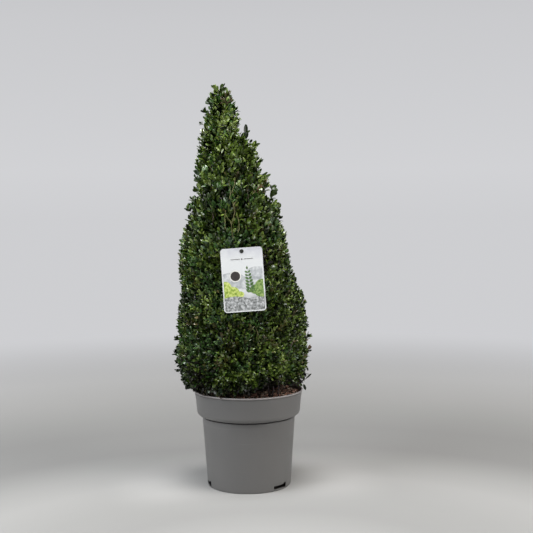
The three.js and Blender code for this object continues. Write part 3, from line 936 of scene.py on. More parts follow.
def makeShoots(look):
    rng = np.random.default_rng(look["seed"])
    surface, outward = thinOut(rng, *outerSamples(crownLook))
    count = len(surface)
    z = surface[:, 2]
    loose = looseness(z)
    hanging, free = look["skirt"]
    risen = np.clip((z - hanging) / (free - hanging), 0, 1)
    lift = look["lift"] * (look["skirtLift"] + (1 - look["skirtLift"]) * risen)
    pull = outward * look["outward"] + np.array([0, 0, 1]) * lift[:, None]
    heading = unit(pull + rng.normal(0, look["scatter"], (count, 3)))
    low, high = rangeAt(look["sink"], loose)
    sink = low + (high - low) * rng.random(count)
    (scale, sharpness), (spireFoot, spireSink) = look["clump"], look["spire"]
    clump = np.array([noise.noise(Vector(p) * scale) for p in surface])
    sink += blend(look["hollow"], loose) * np.clip(clump * sharpness, 0, 1)
    sink *= np.where(z > spireFoot, spireSink, 1)
    for middle, reach, depth in hollows:
        away = np.linalg.norm(surface - np.array(middle) * mm, axis=1) / (reach * mm)
        sink += depth * mm * np.exp(-away ** 2)
    tips = surface - outward * sink[:, None]
    (margin, behind), (inside, front) = look["behindCard"], onCard(tips)
    back = np.where((inside > -margin) & (front > -behind), front + behind, 0)
    tips -= np.array(cardPlace.to_3x3().col[2]) * back[:, None]
    inner = rng.random(count) < blend(look["innerShare"], loose)
    deeper = tips[inner] - outward[inner] * rng.uniform(*look["innerDepth"], (inner.sum(), 1))
    tips = np.concatenate([tips, deeper])
    heading, outward, loose = (
        np.concatenate([values, values[inner]]) for values in (heading, outward, loose)
    )
    count = len(tips)
    length = rng.uniform(*look["length"], count)
    along, inwards = look["slant"]
    bases = tips - heading * length[:, None] * along - outward * length[:, None] * inwards
    leaf = blend(look["leaf"], loose) * rng.uniform(*look["leafRange"], count)
    pairs = np.full(count, look["pairs"])
    return {
        "tip": tips, "base": bases, "leaf": leaf, "pairs": pairs, "loose": loose,
        "inner": np.arange(count) >= count - inner.sum(),
    }


def addStrays(shoots):
    root, tip, leaf, pairs, _ = zip(*strays)
    root, tip = np.array(root) * mm, np.array(tip) * mm
    extra = {
        "tip": tip, "base": root, "leaf": np.array(leaf) * mm, "pairs": np.array(pairs),
        "loose": np.ones(len(strays)), "inner": np.zeros(len(strays), bool),
    }
    return {key: np.concatenate([values, extra[key]]) for key, values in shoots.items()}


shoots = addStrays(makeShoots(shootLook))
shootCount = len(shoots["tip"])


# branches: ends are gathered into bunches, level by level, down to the limbs
branchLook = {
    "seed": 9,
    # how many to each end they carry, then how far those are pulled in and down
    "twig": (0.16, 0.10, 3 * mm),
    "branch": (0.2, 0.30, 16 * mm),
    "climb": 0.9,  # a branch's rise for each metre outwards
    "climbWeight": 1.5,
    "sag": (0.10, 0.08),  # of branches and twigs, share of their length
    # radius at foot and tip, sides, colour and roughness
    "branches": ((2.7 * mm, 1.5 * mm), 7, "branch_wood", (0.060, 0.045, 0.034), 0.85),
    "twigs": ((1.35 * mm, 0.8 * mm), 5, "twig_wood", (0.075, 0.055, 0.038), 0.8),
    "shoots": ((0.8 * mm, 0.42 * mm), 3, "shoot_wood", (0.115, 0.120, 0.040), 0.6),
}


def pulledIn(places, amount, drop):
    # moves places towards the trunk and down
    axis = np.stack([np.interp(places[:, 2], trunkPath[:, 2], trunkPath[:, k]) for k in (0, 1)], 1)
    inward = np.concatenate([axis - places[:, :2], np.zeros((len(places), 1))], 1)
    moved = places + inward * amount
    moved[:, 2] -= drop
    return moved


def gather(ends, share, pull, drop, rng):
    # spreads bunches evenly over the ends, moves each to the middle of its own and pulls it in
    count = max(1, int(len(ends) * share))
    picked = [int(rng.integers(len(ends)))]
    distance = np.linalg.norm(ends - ends[picked[0]], axis=1)
    for _ in range(count - 1):
        picked.append(int(distance.argmax()))
        distance = np.minimum(distance, np.linalg.norm(ends - ends[picked[-1]], axis=1))
    middles = ends[picked]
    for _ in range(3):
        nearest = np.linalg.norm(ends[:, None] - middles[None], axis=2).argmin(1)
        middles = np.array([
            ends[nearest == k].mean(0) if (nearest == k).any() else middle
            for k, middle in enumerate(middles)
        ])
    nearest = np.linalg.norm(ends[:, None] - middles[None], axis=2).argmin(1)
    return pulledIn(middles, pull, drop), nearest


def bent(start, middle, end, steps):
    t = np.linspace(0, 1, steps)[None, :, None]
    return start[:, None] * (1 - t) ** 2 + 2 * middle[:, None] * t * (1 - t) + end[:, None] * t ** 2


def climbing(start, end, sag, steps):
    # a curve that leaves its parent low and turns up towards its end
    middle = (start + end) / 2
    middle[:, 2] -= np.linalg.norm(end - start, axis=1) * sag
    return bent(start, middle, end, steps)


def nearestLimb(ends, climb, weight):
    # the limb place that a branch can come from while it climbs at a natural angle
    flat = np.linalg.norm(ends[:, None, :2] - limbPlaces[None, :, :2], axis=2)
    wanted = ends[:, None, 2] - flat * climb
    return limbPlaces[(flat + weight * np.abs(limbPlaces[None, :, 2] - wanted)).argmin(1)]


def squareTo(ahead):
    # two directions at right angles to each way ahead, and to each other
    helper = np.where(np.abs(ahead[..., 2:]) > 0.9, np.array([1.0, 0, 0]), np.array([0, 0, 1.0]))
    side = unit(np.cross(ahead, helper))
    return side, np.cross(ahead, side)


def tubeMesh(name, paths, radii, sides):
    # paths: copies x steps x 3, radii: at the foot and at the tip; both ends close to a point
    copies, steps = paths.shape[:2]
    foot, tip = (np.broadcast_to(radius, (copies,)) for radius in radii)
    radii = np.linspace(foot, tip, steps, axis=1)
    ahead = unit(np.gradient(paths, axis=1))
    side, other = squareTo(ahead)
    angle = np.arange(sides) * 2 * math.pi / sides
    rings = paths[:, :, None] + radii[:, :, None, None] * (
        side[:, :, None] * np.cos(angle)[None, None, :, None]
        + other[:, :, None] * np.sin(angle)[None, None, :, None]
    )
    points = np.concatenate([
        rings.reshape(copies, steps * sides, 3),
        paths[:, :1] - ahead[:, :1] * radii[:, :1, None] * 0.3,
        paths[:, -1:] + ahead[:, -1:] * radii[:, -1:, None],
    ], 1)
    faces = []
    for i in range(steps - 1):
        for k in range(sides):
            a, b = i * sides + k, i * sides + (k + 1) % sides
            faces += [(a, b, b + sides), (a, b + sides, a + sides)]
    footVert, tipVert, lastRing = steps * sides, steps * sides + 1, (steps - 1) * sides
    for k in range(sides):
        faces.append((footVert, (k + 1) % sides, k))
        faces.append((tipVert, lastRing + k, lastRing + (k + 1) % sides))
    return joinedMesh(name, points, faces)


def makeBranches(look):
    rng = np.random.default_rng(look["seed"])
    twigEnds, twigOfShoot = gather(shoots["base"], *look["twig"], rng)
    branchEnds, branchOfTwig = gather(twigEnds, *look["branch"], rng)
    branchFeet = nearestLimb(branchEnds, look["climb"], look["climbWeight"])
    branchSag, twigSag = look["sag"]
    curves = {
        "branches": climbing(branchFeet, branchEnds, branchSag, 7),
        "twigs": climbing(branchEnds[branchOfTwig], twigEnds, twigSag, 5),
        "shoots": bent(twigEnds[twigOfShoot], shoots["base"], shoots["tip"], 6),
    }
    for name, paths in curves.items():
        radii, sides, wood, colour, roughness = look[name]
        material = plainMaterial(wood, colour, roughness)
        addPiece(name, tubeMesh(name, paths, radii, sides), material, "bark")
        print(" ", name, len(paths))
    return curves["shoots"]


shootCurves = makeBranches(branchLook)

bareTwigs = {
    # colour, then foot, middle, tip and thickness of each in millimetres
    "bare_yellow": ((0.165, 0.148, 0.056), [
        ((-30, -84, 556), (-26, -80, 572), (-31, -76, 590), 0.55),
        ((-26, -82, 568), (-18, -78, 582), (-20, -72, 598), 0.55),
        ((-14, -96, 494), (-10, -94, 512), (-15, -92, 530), 0.6),
        ((-36, -92, 500), (-41, -88, 516), (-37, -84, 534), 0.6),
        ((-23, -89, 478), (-28, -88, 500), (-24, -86, 520), 0.8),
        ((-24, -86, 516), (-19, -85, 535), (-23, -81, 552), 0.7),
        ((-25, -87, 508), (-32, -84, 520), (-37, -80, 530), 0.6),
        ((-23, -84, 545), (-16, -82, 552), (-14, -78, 563), 0.6),
        ((20, -113, 288), (23, -118, 302), (18, -117, 318), 0.8),
        ((30, -72, 474), (33, -75, 490), (30, -72, 508), 0.7),
    ]),
    "bare_grey": ((0.085, 0.060, 0.048), [
        ((70, -86, 252), (78, -88, 270), (88, -80, 292), 1.3),
        ((5, -66, 535), (8, -71, 552), (3, -68, 574), 0.7),
        ((-64, -66, 500), (-58, -74, 520), (-66, -68, 545), 0.8),
    ]),
    "bare_dark": ((0.026, 0.016, 0.016), [
        ((58, -72, 184), (60, -80, 204), (55, -82, 236), 1.7),
        ((46, -78, 184), (50, -88, 206), (47, -90, 238), 1.5),
        ((40, -74, 184), (38, -88, 202), (42, -94, 226), 1.3),
        ((-10, -2, 650), (-4, -6, 672), (0, -6, 685), 1.0),
        ((20, 0, 575), (42, 0, 588), (49, 0, 577), 0.8),
        ((48, 0, 524), (60, 0, 530), (61, -1, 540), 0.8),
        ((78, -34, 196), (98, -44, 203), (112, -36, 212), 1.1),
        ((80, -30, 200), (104, -30, 212), (113, -22, 234), 0.8),
        ((90, -40, 198), (101, -41, 206), (107, -40, 202), 0.6),
    ]),
}

twigLook = {
    "seed": 5,
    "steps": 13,
    "kinks": (2.2 * mm, 95),  # height, and how many to a metre
    "taper": (1.1, 0.55),
    "sides": 6,
    "roughness": 0.7,
}


def makeBareTwigs(look):
    reach, scale = look["kinks"]
    noise.seed_set(look["seed"])  # noise vectors start from the clock otherwise
    for name, (colour, rows) in bareTwigs.items():
        foot, middle, tip, thickness = (np.array(column) * mm for column in zip(*rows))
        paths = bent(foot, middle, tip, look["steps"])
        kinks = np.array([noise.noise_vector(Vector(p) * scale) for p in paths.reshape(-1, 3)])
        paths += kinks.reshape(paths.shape) * reach
        mesh = tubeMesh(name, paths, [thickness * share for share in look["taper"]], look["sides"])
        addPiece(name, mesh, plainMaterial(name, colour, look["roughness"]), "bark")


makeBareTwigs(twigLook)
print("branches, twigs and shoots grown")


# leaves
leafLook = {
    "seed": 78,
    "internode": ((3.8 * mm, 5.4 * mm), (4.5 * mm, 6.6 * mm)),  # dense and loose part
    "spread": (0.64, 1.20),  # range of leaf lengths round a shoot's own
    "aspect": ((0.48, 0.62), (0.46, 0.62)),  # width to length, dense and loose part
    "rise": ((16, 54), (14, 48)),  # degrees from the stem, youngest to oldest pair, in each part
    "strayPace": 0.5,  # closer pairs on the shoots that stick out
    "jitter": 0.18,  # of each pair's turn and of each leaf's rise, in radians
    "young": (0.60, 1.4),  # size of the youngest pair, and how fast it nears the full size
    "skyPull": 0.45,  # how far faces may turn up
    "tumble": 0.24,
    "folds": ((0.40, 0.24, -0.20), (0.45, 0.3, 0.25)),  # depth to half width, and how often
    "droop": 0.16,  # most that a tip hangs, share of the length
    "cardGap": 1.2 * mm,
    "perPiece": 12000,
    "roughness": 0.28,
    "coat": 0.2,
    "gloss": (0.24, 3.2),  # on a black leaf, and what a paler one adds
}

leafTones = {
    # near black: the darkest leaves, and painted shade deep inside the crown
    "deep": (0.006, 0.014, 0.0015),
    "dark": (0.027, 0.051, 0.005),
    "mid": (0.074, 0.123, 0.014),
    "leafy": (0.122, 0.190, 0.026),
    "fresh": (0.200, 0.277, 0.048),
    "pine": (0.017, 0.047, 0.008),
    "emerald": (0.043, 0.106, 0.018),
    "jade": (0.092, 0.174, 0.050),
    "lime": (0.280, 0.345, 0.075),
    "mint": (0.110, 0.170, 0.100),
    # near-black brown: painted shade in hollows and under the crown
    "umber": (0.010, 0.009, 0.006),
    "olive": (0.078, 0.078, 0.018),
    "bronze": (0.100, 0.082, 0.038),
    "brown": (0.135, 0.084, 0.042),
    "tan": (0.260, 0.210, 0.090),
}
toneNames = list(leafTones)
toneLadders = [
    ("deep", "pine", "emerald", "jade", "fresh"),  # cool
    ("deep", "dark", "mid", "leafy", "fresh"),  # warm
]

toneLook = {
    "heights": (0.25, 0.4, 1.2),  # where the tones start to change, over what height, and how far
    # share of each step of a ladder, from the darkest, at the foot and at the top; the darker foot
    # and paler top are partly the plant's younger growth above and partly painted light from above
    "foot": (0.20, 0.38, 0.33, 0.08, 0.01),
    "top": (0.06, 0.18, 0.40, 0.27, 0.09),
    "hue": 17,  # swings between the ladders to a metre
    "warm": (0.36, 1.2, -2.2),  # least draw for the warm one, what a swing and the right side add; the right side's extra warm tones are painted warm light
    "odd": {"mint": (0, 0.018), "bronze": (0.05, 0.065), "olive": (0.07, 0.10)},
    "skirt": (0.24, 0.035),  # height where painted shade starts on the hanging shoots under the crown, and over what depth
    "hanging": {"deep": 0.30, "umber": 0.62},
    "young": (0.3, 0.30),  # up to this age, this share is a step paler
    "old": (0.5, 0.35),  # from this age, all but this share is a step darker
    "mixed": 0.24,  # share of leaves a step darker, and paler, whatever their age
    "tan": 0.993,
}

paintedLightAndTonePatches = [
    # the plant's own tones mixed with painted shade in hollows and under the card and painted light
    # on shaded bands; tone, middle and reach in millimetres, share of its shoots
    ("bronze", (-43, -26, 739), 14, 0.6),
    ("mid", (-62, -24, 728), 14, 0.7),
    ("lime", (-22, -24, 722), 9, 0.5),
    ("fresh", (-22, -22, 711), 19, 0.8),
    ("fresh", (-50, -36, 702), 15, 1),
    ("lime", (-54, -33, 700), 9, 0.5),
    ("leafy", (-74, -35, 655), 16, 0.4),
    # painted shade in a hollow
    ("umber", (-43, -53, 633), 14, 0.85),
    ("leafy", (-37, -46, 658), 14, 0.9),
    ("leafy", (-22, -51, 640), 9, 0.7),
    ("mint", (-6, -52, 636), 7, 0.8),
    ("jade", (-9, -54, 621), 12, 0.5),
    ("deep", (1, -54, 614), 15, 0.6),
    ("fresh", (13, -37, 649), 15, 0.9),
    ("leafy", (-52, -60, 611), 14, 0.8),
    ("umber", (-28, -60, 612), 9, 0.6),
    ("jade", (-12, -68, 591), 8, 0.9),
    ("dark", (14, -60, 598), 12, 0.8),
    ("fresh", (32, -24, 602), 10, 0.9),
    ("brown", (25, -48, 582), 7, 0.6),
    ("umber", (-43, -72, 572), 12, 0.7),
    ("leafy", (-84, -42, 602), 11, 0.8),
    ("umber", (-50, -82, 548), 13, 0.6),
    ("fresh", (-24, -73, 579), 9, 0.8),
    ("deep", (-6, -70, 577), 11, 0.8),
    ("olive", (-22, -87, 536), 12, 0.5),
    ("deep", (5, -80, 550), 20, 0.6),
    ("dark", (-52, -6, 767), 13, 0.8),
    ("deep", (-77, -71, 544), 10, 0.7),
    ("deep", (-78, -62, 568), 18, 0.95),
    ("fresh", (-30, -88, 542), 10, 0.5),
    ("dark", (36, -64, 520), 16, 0.5),
    ("dark", (64, -35, 514), 15, 0.6),
    # painted light on a band in the crown's own shade
    ("leafy", (-92, -55, 522), 15, 0.8),
    ("fresh", (-33, -92, 529), 15, 0.9),
    ("tan", (-20, -90, 514), 11, 0.35),
    # painted light on a band in the crown's own shade
    ("leafy", (-76, -90, 448), 16, 0.6),
    ("leafy", (-50, -97, 452), 14, 0.5),
    ("deep", (-66, -80, 511), 17, 1),
    ("mint", (-71, -86, 481), 11, 0.6),
    ("fresh", (75, -22, 469), 8, 0.5),
    ("emerald", (-110, -49, 471), 20, 0.6),
    ("dark", (-102, -74, 420), 16, 0.7),
    # painted shade in the hollow beside the card
    ("umber", (49, -88, 443), 20, 1),
    ("deep", (100, -50, 322), 14, 0.9),
    ("deep", (-100, -79, 386), 15, 0.75),
    ("deep", (46, -103, 362), 13, 0.3),
    ("deep", (-76, -111, 275), 13, 0.7),
    ("emerald", (-5, -127, 299), 18, 0.5),
    ("fresh", (13, -124, 255), 14, 0.6),
    ("deep", (96, -68, 303), 11, 0.6),
    ("lime", (55, -107, 283), 7, 0.6),
    ("fresh", (66, -102, 273), 14, 0.5),
    ("leafy", (68, -103, 242), 17, 0.8),
    ("deep", (55, -113, 258), 10, 0.6),
    ("leafy", (-26, -124, 240), 16, 0.5),
    ("umber", (-119, -66, 247), 24, 0.6),
    ("umber", (-92, -90, 224), 28, 0.8),
    ("deep", (-122, -20, 225), 26, 0.8),
    ("deep", (-104, -40, 208), 24, 0.9),
    ("umber", (-80, -74, 202), 22, 0.7),
    ("deep", (-80, -100, 222), 15, 0.6),
    ("leafy", (-46, -109, 217), 13, 0.6),
    # painted shadow below the card
    ("deep", (-8, -125, 342), 15, 0.4),
    ("leafy", (-20, -124, 264), 14, 0.5),
    ("leafy", (-55, -116, 335), 14, 0.5),
    ("leafy", (-73, -102, 364), 15, 1),
    ("leafy", (18, -120, 283), 14, 0.5),
    ("deep", (-112, -66, 326), 18, 0.65),
    ("deep", (-123, -48, 372), 16, 0.7),
    ("dark", (101, -26, 380), 15, 0.5),
    ("umber", (44, -100, 212), 16, 1),
    ("mint", (-70, -92, 196), 12, 0.5),
    ("brown", (112, -30, 262), 10, 0.5),
    ("deep", (80, -32, 433), 19, 0.9),
    ("dark", (-91, -93, 321), 20, 1),
    ("leafy", (-6, -123, 234), 15, 0.9),
    ("dark", (-27, -40, 686), 12, 0.7),
]

loneLeaves = [
    # foot and tip in millimetres, width to length, tone: leaves that stand clear of the outline
    ((-56, -4, 771), (-66, -4, 778), 0.48, "dark"),  # at the very top
    ((-47, -4, 769), (-43, -4, 781), 0.66, "dark"),
    ((-44, -6, 766), (-36, -6, 774), 0.56, "dark"),
    ((0, -6, 682), (1, -6, 703), 0.42, "deep"),  # on the shoulder
    ((2, -4, 686), (9, -4, 691), 0.42, "dark"),
    ((3, -8, 686), (-9, -8, 677), 0.66, "deep"),
    ((0, -3, 674), (3, -4, 689), 0.50, "deep"),
    ((38, -6, 601), (48, -6, 606), 0.46, "mid"),  # a pointed shoot below it
    ((31, -6, 599), (43, -6, 604), 0.48, "leafy"),
    ((30, -3, 594), (42, -3, 599), 0.52, "fresh"),
    ((25, -6, 597), (36, -6, 603), 0.50, "fresh"),
    ((23, -8, 591), (35, -8, 596), 0.55, "fresh"),
    ((34, -4, 605), (42, -4, 610), 0.42, "dark"),
    ((36, 0, 586), (46, 0, 591), 0.34, "deep"),
    ((32, -4, 583), (36, -4, 577), 0.60, "deep"),
    ((48, 0, 578), (59, 0, 585), 0.62, "dark"),  # a round tuft
    ((48, -3, 577), (62, -3, 575), 0.62, "dark"),
    ((48, 2, 575), (54, 2, 564), 0.66, "dark"),
    ((49, 4, 577), (60, 4, 568), 0.60, "dark"),
    ((49, 0, 579), (47, 0, 586), 0.50, "deep"),
    ((60, 0, 540), (67, 0, 549), 0.80, "dark"),
    ((62, -3, 539), (59, -3, 548), 0.70, "dark"),
    ((49, 0, 547), (57, 0, 550), 0.40, "dark"),
    ((111, -36, 211), (123, -36, 221), 0.30, "deep"),  # over the right of the pot
    ((107, -40, 202), (111, -40, 190), 0.42, "deep"),
    ((114, -20, 232), (117, -20, 224), 0.50, "deep"),
    ((102, -44, 214), (108, -44, 219), 0.50, "mid"),
    ((98, -46, 204), (105, -46, 199), 0.50, "dark"),
    ((119, 0, 259), (125, 0, 262), 0.50, "deep"),
    ((-134, 0, 258), (-143, 0, 262), 0.60, "dark"),  # down the left
    ((-137, -2, 237), (-140, -2, 250), 0.42, "dark"),
    ((-132, -3, 236), (-140, -4, 232), 0.46, "deep"),
    ((-122, -10, 205), (-129, -10, 212), 0.62, "deep"),
    ((-115, -16, 201), (-118, -16, 189), 0.42, "deep"),
    ((-117, -20, 205), (-121, -20, 200), 0.50, "deep"),
    ((-83, -62, 204), (-89, -62, 198), 0.50, "mint"),  # drooping over the rim
    ((-77, -68, 202), (-82, -68, 193), 0.44, "mint"),
    ((-62, -78, 205), (-68, -78, 194), 0.44, "mint"),
    ((-52, -86, 204), (-56, -86, 197), 0.50, "mint"),
    ((39, -92, 435), (50, -92, 441), 0.58, "umber"),  # broad leaves in the dark beside the card
    ((42, -91, 429), (59, -92, 430), 0.52, "dark"),
    ((51, -90, 418), (57, -90, 423), 0.60, "mid"),
    ((59, -88, 419), (65, -88, 424), 0.60, "mid"),
    ((44, -90, 447), (48, -90, 452), 0.60, "mid"),
]

# one leaf: x along the midrib, y across, then the share of its fold. The midrib's six points
# come first, then four along each margin.
leafMidrib = [(0, 0), (0.22, 0.8), (0.48, 1), (0.72, 1), (0.90, 0.7), (1, 0.3)]
leafMargin = [(0.13, 0.50), (0.38, 1.0), (0.68, 0.95), (0.92, 0.52)]
leafShape = {
    "verts": np.array([
        *[(x, 0, lift) for x, lift in leafMidrib],
        *[(x, y, 0) for x, y in leafMargin],
        *[(x, -y, 0) for x, y in leafMargin],
    ]),
    "faces": [
        corners
        for margin, order in ((6, 1), (10, -1))
        for corners in [
            *[(i, i + 1, margin + i)[::order] for i in range(4)],
            *[(i + 1, margin + i + 1, margin + i)[::order] for i in range(3)],
            (4, 5, margin + 3)[::order],
        ]
    ],
    "ribbed": 6,
}


def pathAt(curves, share):
    # share: copies x n, 0 at the foot and 1 at the tip
    steps = curves.shape[1] - 1
    at = np.clip(share, 0, 1) * steps
    low = np.minimum(at.astype(int), steps - 1)
    part = (at - low)[..., None]
    row = np.arange(len(curves))[:, None]
    place = curves[row, low] * (1 - part) + curves[row, low + 1] * part
    return place, unit(curves[row, low + 1] - curves[row, low])


def leafFrames(look, rng):
    # opposite pairs down each shoot, every pair a quarter turn from the last
    pairs = int(shoots["pairs"].max())
    reach = np.linalg.norm(np.diff(shootCurves, axis=1), axis=2).sum(1)
    loose = shoots["loose"][:, None]
    least, most = rangeAt(look["internode"], loose)
    gaps = least + (most - least) * rng.random((shootCount, pairs))
    gaps[-len(strays):] *= look["strayPace"]
    back = np.cumsum(gaps, 1) - gaps[:, :1]
    place, ahead = pathAt(shootCurves, 1 - back / reach[:, None])
    age = np.arange(pairs)[None] / (pairs - 1)
    spin = rng.random(shootCount)[:, None] * math.pi + np.arange(pairs)[None] * math.pi / 2
    spin = spin + rng.normal(0, look["jitter"], spin.shape)
    side, other = squareTo(ahead)
    out = side * np.cos(spin)[..., None] + other * np.sin(spin)[..., None]
    out = np.stack([out, -out], 2)
    ahead = ahead[:, :, None]
    youngest, oldest = rangeAt(look["rise"], loose)
    rise = np.radians(blend((youngest, oldest), np.sqrt(age)))
    shape = (shootCount, pairs, 2)
    rise = rise[..., None, None] + rng.normal(0, look["jitter"], (*shape, 1))
    size, growth = look["young"]
    young = np.clip(size + growth * age, 0, 1)[..., None]
    length = shoots["leaf"][:, None, None] * young * rng.uniform(*look["spread"], shape)
    grown = np.broadcast_to((np.arange(pairs)[None] < shoots["pairs"][:, None])[..., None], shape)
    narrow, wide = rangeAt(look["aspect"], loose[..., None])
    return {
        "place": np.broadcast_to(place[:, :, None], (*shape, 3))[grown],
        "along": unit(ahead * np.cos(rise) + out * np.sin(rise))[grown],
        "face": unit(ahead * np.sin(rise) - out * np.cos(rise))[grown],
        "length": length[grown],
        "aspect": (narrow + (wide - narrow) * rng.random(shape))[grown],
        "shoot": np.broadcast_to(np.arange(shootCount)[:, None, None], shape)[grown],
        "age": np.broadcast_to(age[..., None], shape)[grown],
    }


def loneFrames():
    foot, tip, aspect, tone = zip(*loneLeaves)
    foot, tip = np.array(foot) * mm, np.array(tip) * mm
    return {
        "place": foot,
        "along": unit(tip - foot),
        "face": np.tile((0.1, -1.0, -0.3), (len(foot), 1)),
        "length": np.linalg.norm(tip - foot, axis=1),
        "aspect": np.array(aspect),
        "tone": np.array([toneNames.index(name) for name in tone]),
    }


def leafPoints(look, leaves, rng):
    count = len(leaves["place"])
    along, length = leaves["along"], leaves["length"]
    sky = np.array([0, 0, 1.0]) * rng.uniform(0, look["skyPull"], count)[:, None]
    face = leaves["face"] + sky + rng.normal(0, look["tumble"], (count, 3))
    across = unit(np.cross(face, along))
    face = np.cross(along, across)
    half = length * leaves["aspect"] / 2
    depths, shares = look["folds"]
    fold = half * rng.choice(depths, count, p=shares)
    droop = length * rng.uniform(0, look["droop"], count)
    x, y, ridge = leafShape["verts"].T
    lift = ridge[None] * fold[:, None] - (x ** 2)[None] * droop[:, None]
    return (
        leaves["place"][:, None] + (x[None] * length[:, None])[..., None] * along[:, None]
        + (y[None] * half[:, None])[..., None] * across[:, None] + lift[..., None] * face[:, None]
    )


def dealTones(look, leaves, rng):
    # a tone for each shoot, then a step up for young leaves and down for old ones
    number = {name: i for i, name in enumerate(toneNames)}
    ladders = np.array([[number[name] for name in row] for row in toneLadders])
    x, z = shoots["tip"][:, 0], shoots["tip"][:, 2]
    # tones shift paler with height: partly younger growth, partly painted light from above
    start, span, most = look["heights"]
    share = np.clip((z - start) / span, 0, most)[:, None]
    chance = np.cumsum(blend((np.array(look["foot"]), np.array(look["top"])), share), 1)
    level = (rng.random(shootCount)[:, None] > chance).sum(1).clip(0, 4)
    hue = np.array([noise.noise(Vector(p) * look["hue"]) for p in shoots["tip"]])
    # random hue swings, plus painted warm light on the right side
    least, swing, side = look["warm"]
    warm = (rng.random(shootCount) > least + swing * hue + side * x).astype(int)
    base = ladders[warm, level]
    draw = rng.random(shootCount)
    for tone, (low, high) in look["odd"].items():
        base = np.where((draw > low) & (draw < high), number[tone], base)
    # painted shade on the hanging shoots at the crown's underside
    foot, depth = look["skirt"]
    hanging = np.clip((foot - z) / depth, 0, 1) * rng.random(shootCount)
    for tone, least in look["hanging"].items():
        base = np.where(hanging > least, number[tone], base)
    # patches of tone, painted light and painted shade
    for row, (tone, middle, reach, amount) in enumerate(paintedLightAndTonePatches):
        away = np.linalg.norm(shoots["tip"] - np.array(middle) * mm, axis=1) / (reach * mm)
        draw = np.random.default_rng(row).random(shootCount)
        base = np.where(draw < amount * np.exp(-away ** 4), number[tone], base)
    # inner shoots get the near-black tone as painted shade inside the crown
    base = np.where(shoots["inner"], number["deep"], base)
    base[-len(strays):] = [number[row[4]] for row in strays]
    up, down = np.arange(len(number)), np.arange(len(number))
    for ladder in ladders:
        up[ladder[:-1]], down[ladder[1:]] = ladder[1:], ladder[:-1]
    tone, pick, age = base[leaves["shoot"]], rng.random(len(leaves["shoot"])), leaves["age"]
    plain = np.isin(tone, ladders)
    (youngest, paler), (oldest, same) = look["young"], look["old"]
    tone = np.where((age < youngest) & (pick < paler), up[tone], tone)
    tone = np.where((age > oldest) & (pick > same), down[tone], tone)
    mixed = rng.random(len(tone))
    step = np.where(mixed > 1 - look["mixed"], up[tone], tone)
    tone = np.where(mixed < look["mixed"], down[tone], step)
    return np.where(plain & (pick > look["tan"]), number["tan"], tone)


def makeLeaves(look):
    rng = np.random.default_rng(look["seed"])
    grown, lone = leafFrames(look, rng), loneFrames()
    grown["tone"] = dealTones(toneLook, grown, rng)
    leaves = {key: np.concatenate([grown[key], lone[key]]) for key in lone}
    points, tone = leafPoints(look, leaves, rng), leaves["tone"]
    inside, front = onCard(points)
    clear = ~((inside > 0) & (front > -look["cardGap"])).any(1)
    points, tone = points[clear], tone[clear]
    for index, (name, colour) in enumerate(leafTones.items()):
        rows = np.flatnonzero(tone == index)
        gloss = look["gloss"][0] + look["gloss"][1] * colour[1]
        material = plainMaterial(
            f"leaf_{name}", colour, look["roughness"], coat=look["coat"], gloss=gloss,
        )
        for part, start in enumerate(range(0, len(rows), look["perPiece"])):
            title = f"leaves_{name}_{part + 1}"
            batch = points[rows[start:start + look["perPiece"]]]
            mesh = joinedMesh(title, batch, leafShape["faces"], leafShape["ribbed"])
            addPiece(title, mesh, material, "foliage", *crownNodes)
    faces = len(points) * len(leafShape["faces"])
    print("leaves:", len(points), "faces:", faces, "shoots:", shootCount)


makeLeaves(leafLook)


# card and tie
printLook = {
    "white": (0.66, 0.675, 0.68),
    "lilac": (0.48, 0.48, 0.53),
    "grey": (0.40, 0.41, 0.42),
    "shades": ((0.06, "white"), (0.22, "grey"), (0.36, "white"), (0.80, "white"), (0.97, "lilac")),
    "veil": [(0.40, 0), (0.66, 0.8)],  # of white over those shades
    "roughness": (0.26, 0.38),
    "bump": (0.05, 0.5 * mm),
    "layer": 0.05 * mm,
    "border": 2.5 * mm,
    "inkStops": (0.36, 0.50, 0.64),
    "inkRoughness": 0.34,
}

printInks = {
    # dark, middle and pale colour of the mottling, its scale
    "ink_dark": ((0.038, 0.033, 0.031), (0.045, 0.039, 0.036), (0.055, 0.048, 0.044), 200),
    "ink_ring": ((0.66, 0.66, 0.62), (0.70, 0.70, 0.66), (0.74, 0.74, 0.70), 90),
    "ink_mist": ((0.34, 0.36, 0.37), (0.46, 0.48, 0.49), (0.60, 0.615, 0.62), 130),
    "ink_grey": ((0.105, 0.11, 0.105), (0.27, 0.28, 0.28), (0.56, 0.57, 0.575), 260),
    "ink_blades": ((0.035, 0.075, 0.022), (0.075, 0.150, 0.045), (0.16, 0.25, 0.09), 320),
    "ink_leaf": ((0.060, 0.120, 0.030), (0.165, 0.270, 0.070), (0.34, 0.43, 0.16), 300),
    "ink_lime": ((0.16, 0.25, 0.035), (0.40, 0.50, 0.10), (0.60, 0.66, 0.24), 240),
}


def flatDisc(bm, radius, segments=40):
    return bmesh.ops.create_circle(bm, cap_ends=True, segments=segments, radius=radius)["verts"]


def shaped(bm, verts, size, spin, place):
    # scales a flat shape, turns it in degrees and moves it, in millimetres on the card
    turn = Matrix.Rotation(math.radians(spin), 3, "Z")
    bmesh.ops.scale(bm, vec=(*size, 1), verts=verts)
    bmesh.ops.rotate(bm, cent=(0, 0, 0), matrix=turn, verts=verts)
    bmesh.ops.translate(bm, vec=(place[0] * mm, place[1] * mm, 0), verts=verts)


def flatLeaf(bm, length, spin, place):
    verts = flatDisc(bm, 0.5, 16)
    for vert in verts:
        vert.co.y *= 0.5 * (1 - (2 * abs(vert.co.x)) ** 3)
    bmesh.ops.translate(bm, vec=(0.5, 0, 0), verts=verts)
    shaped(bm, verts, (length * mm, length * mm), spin, place)


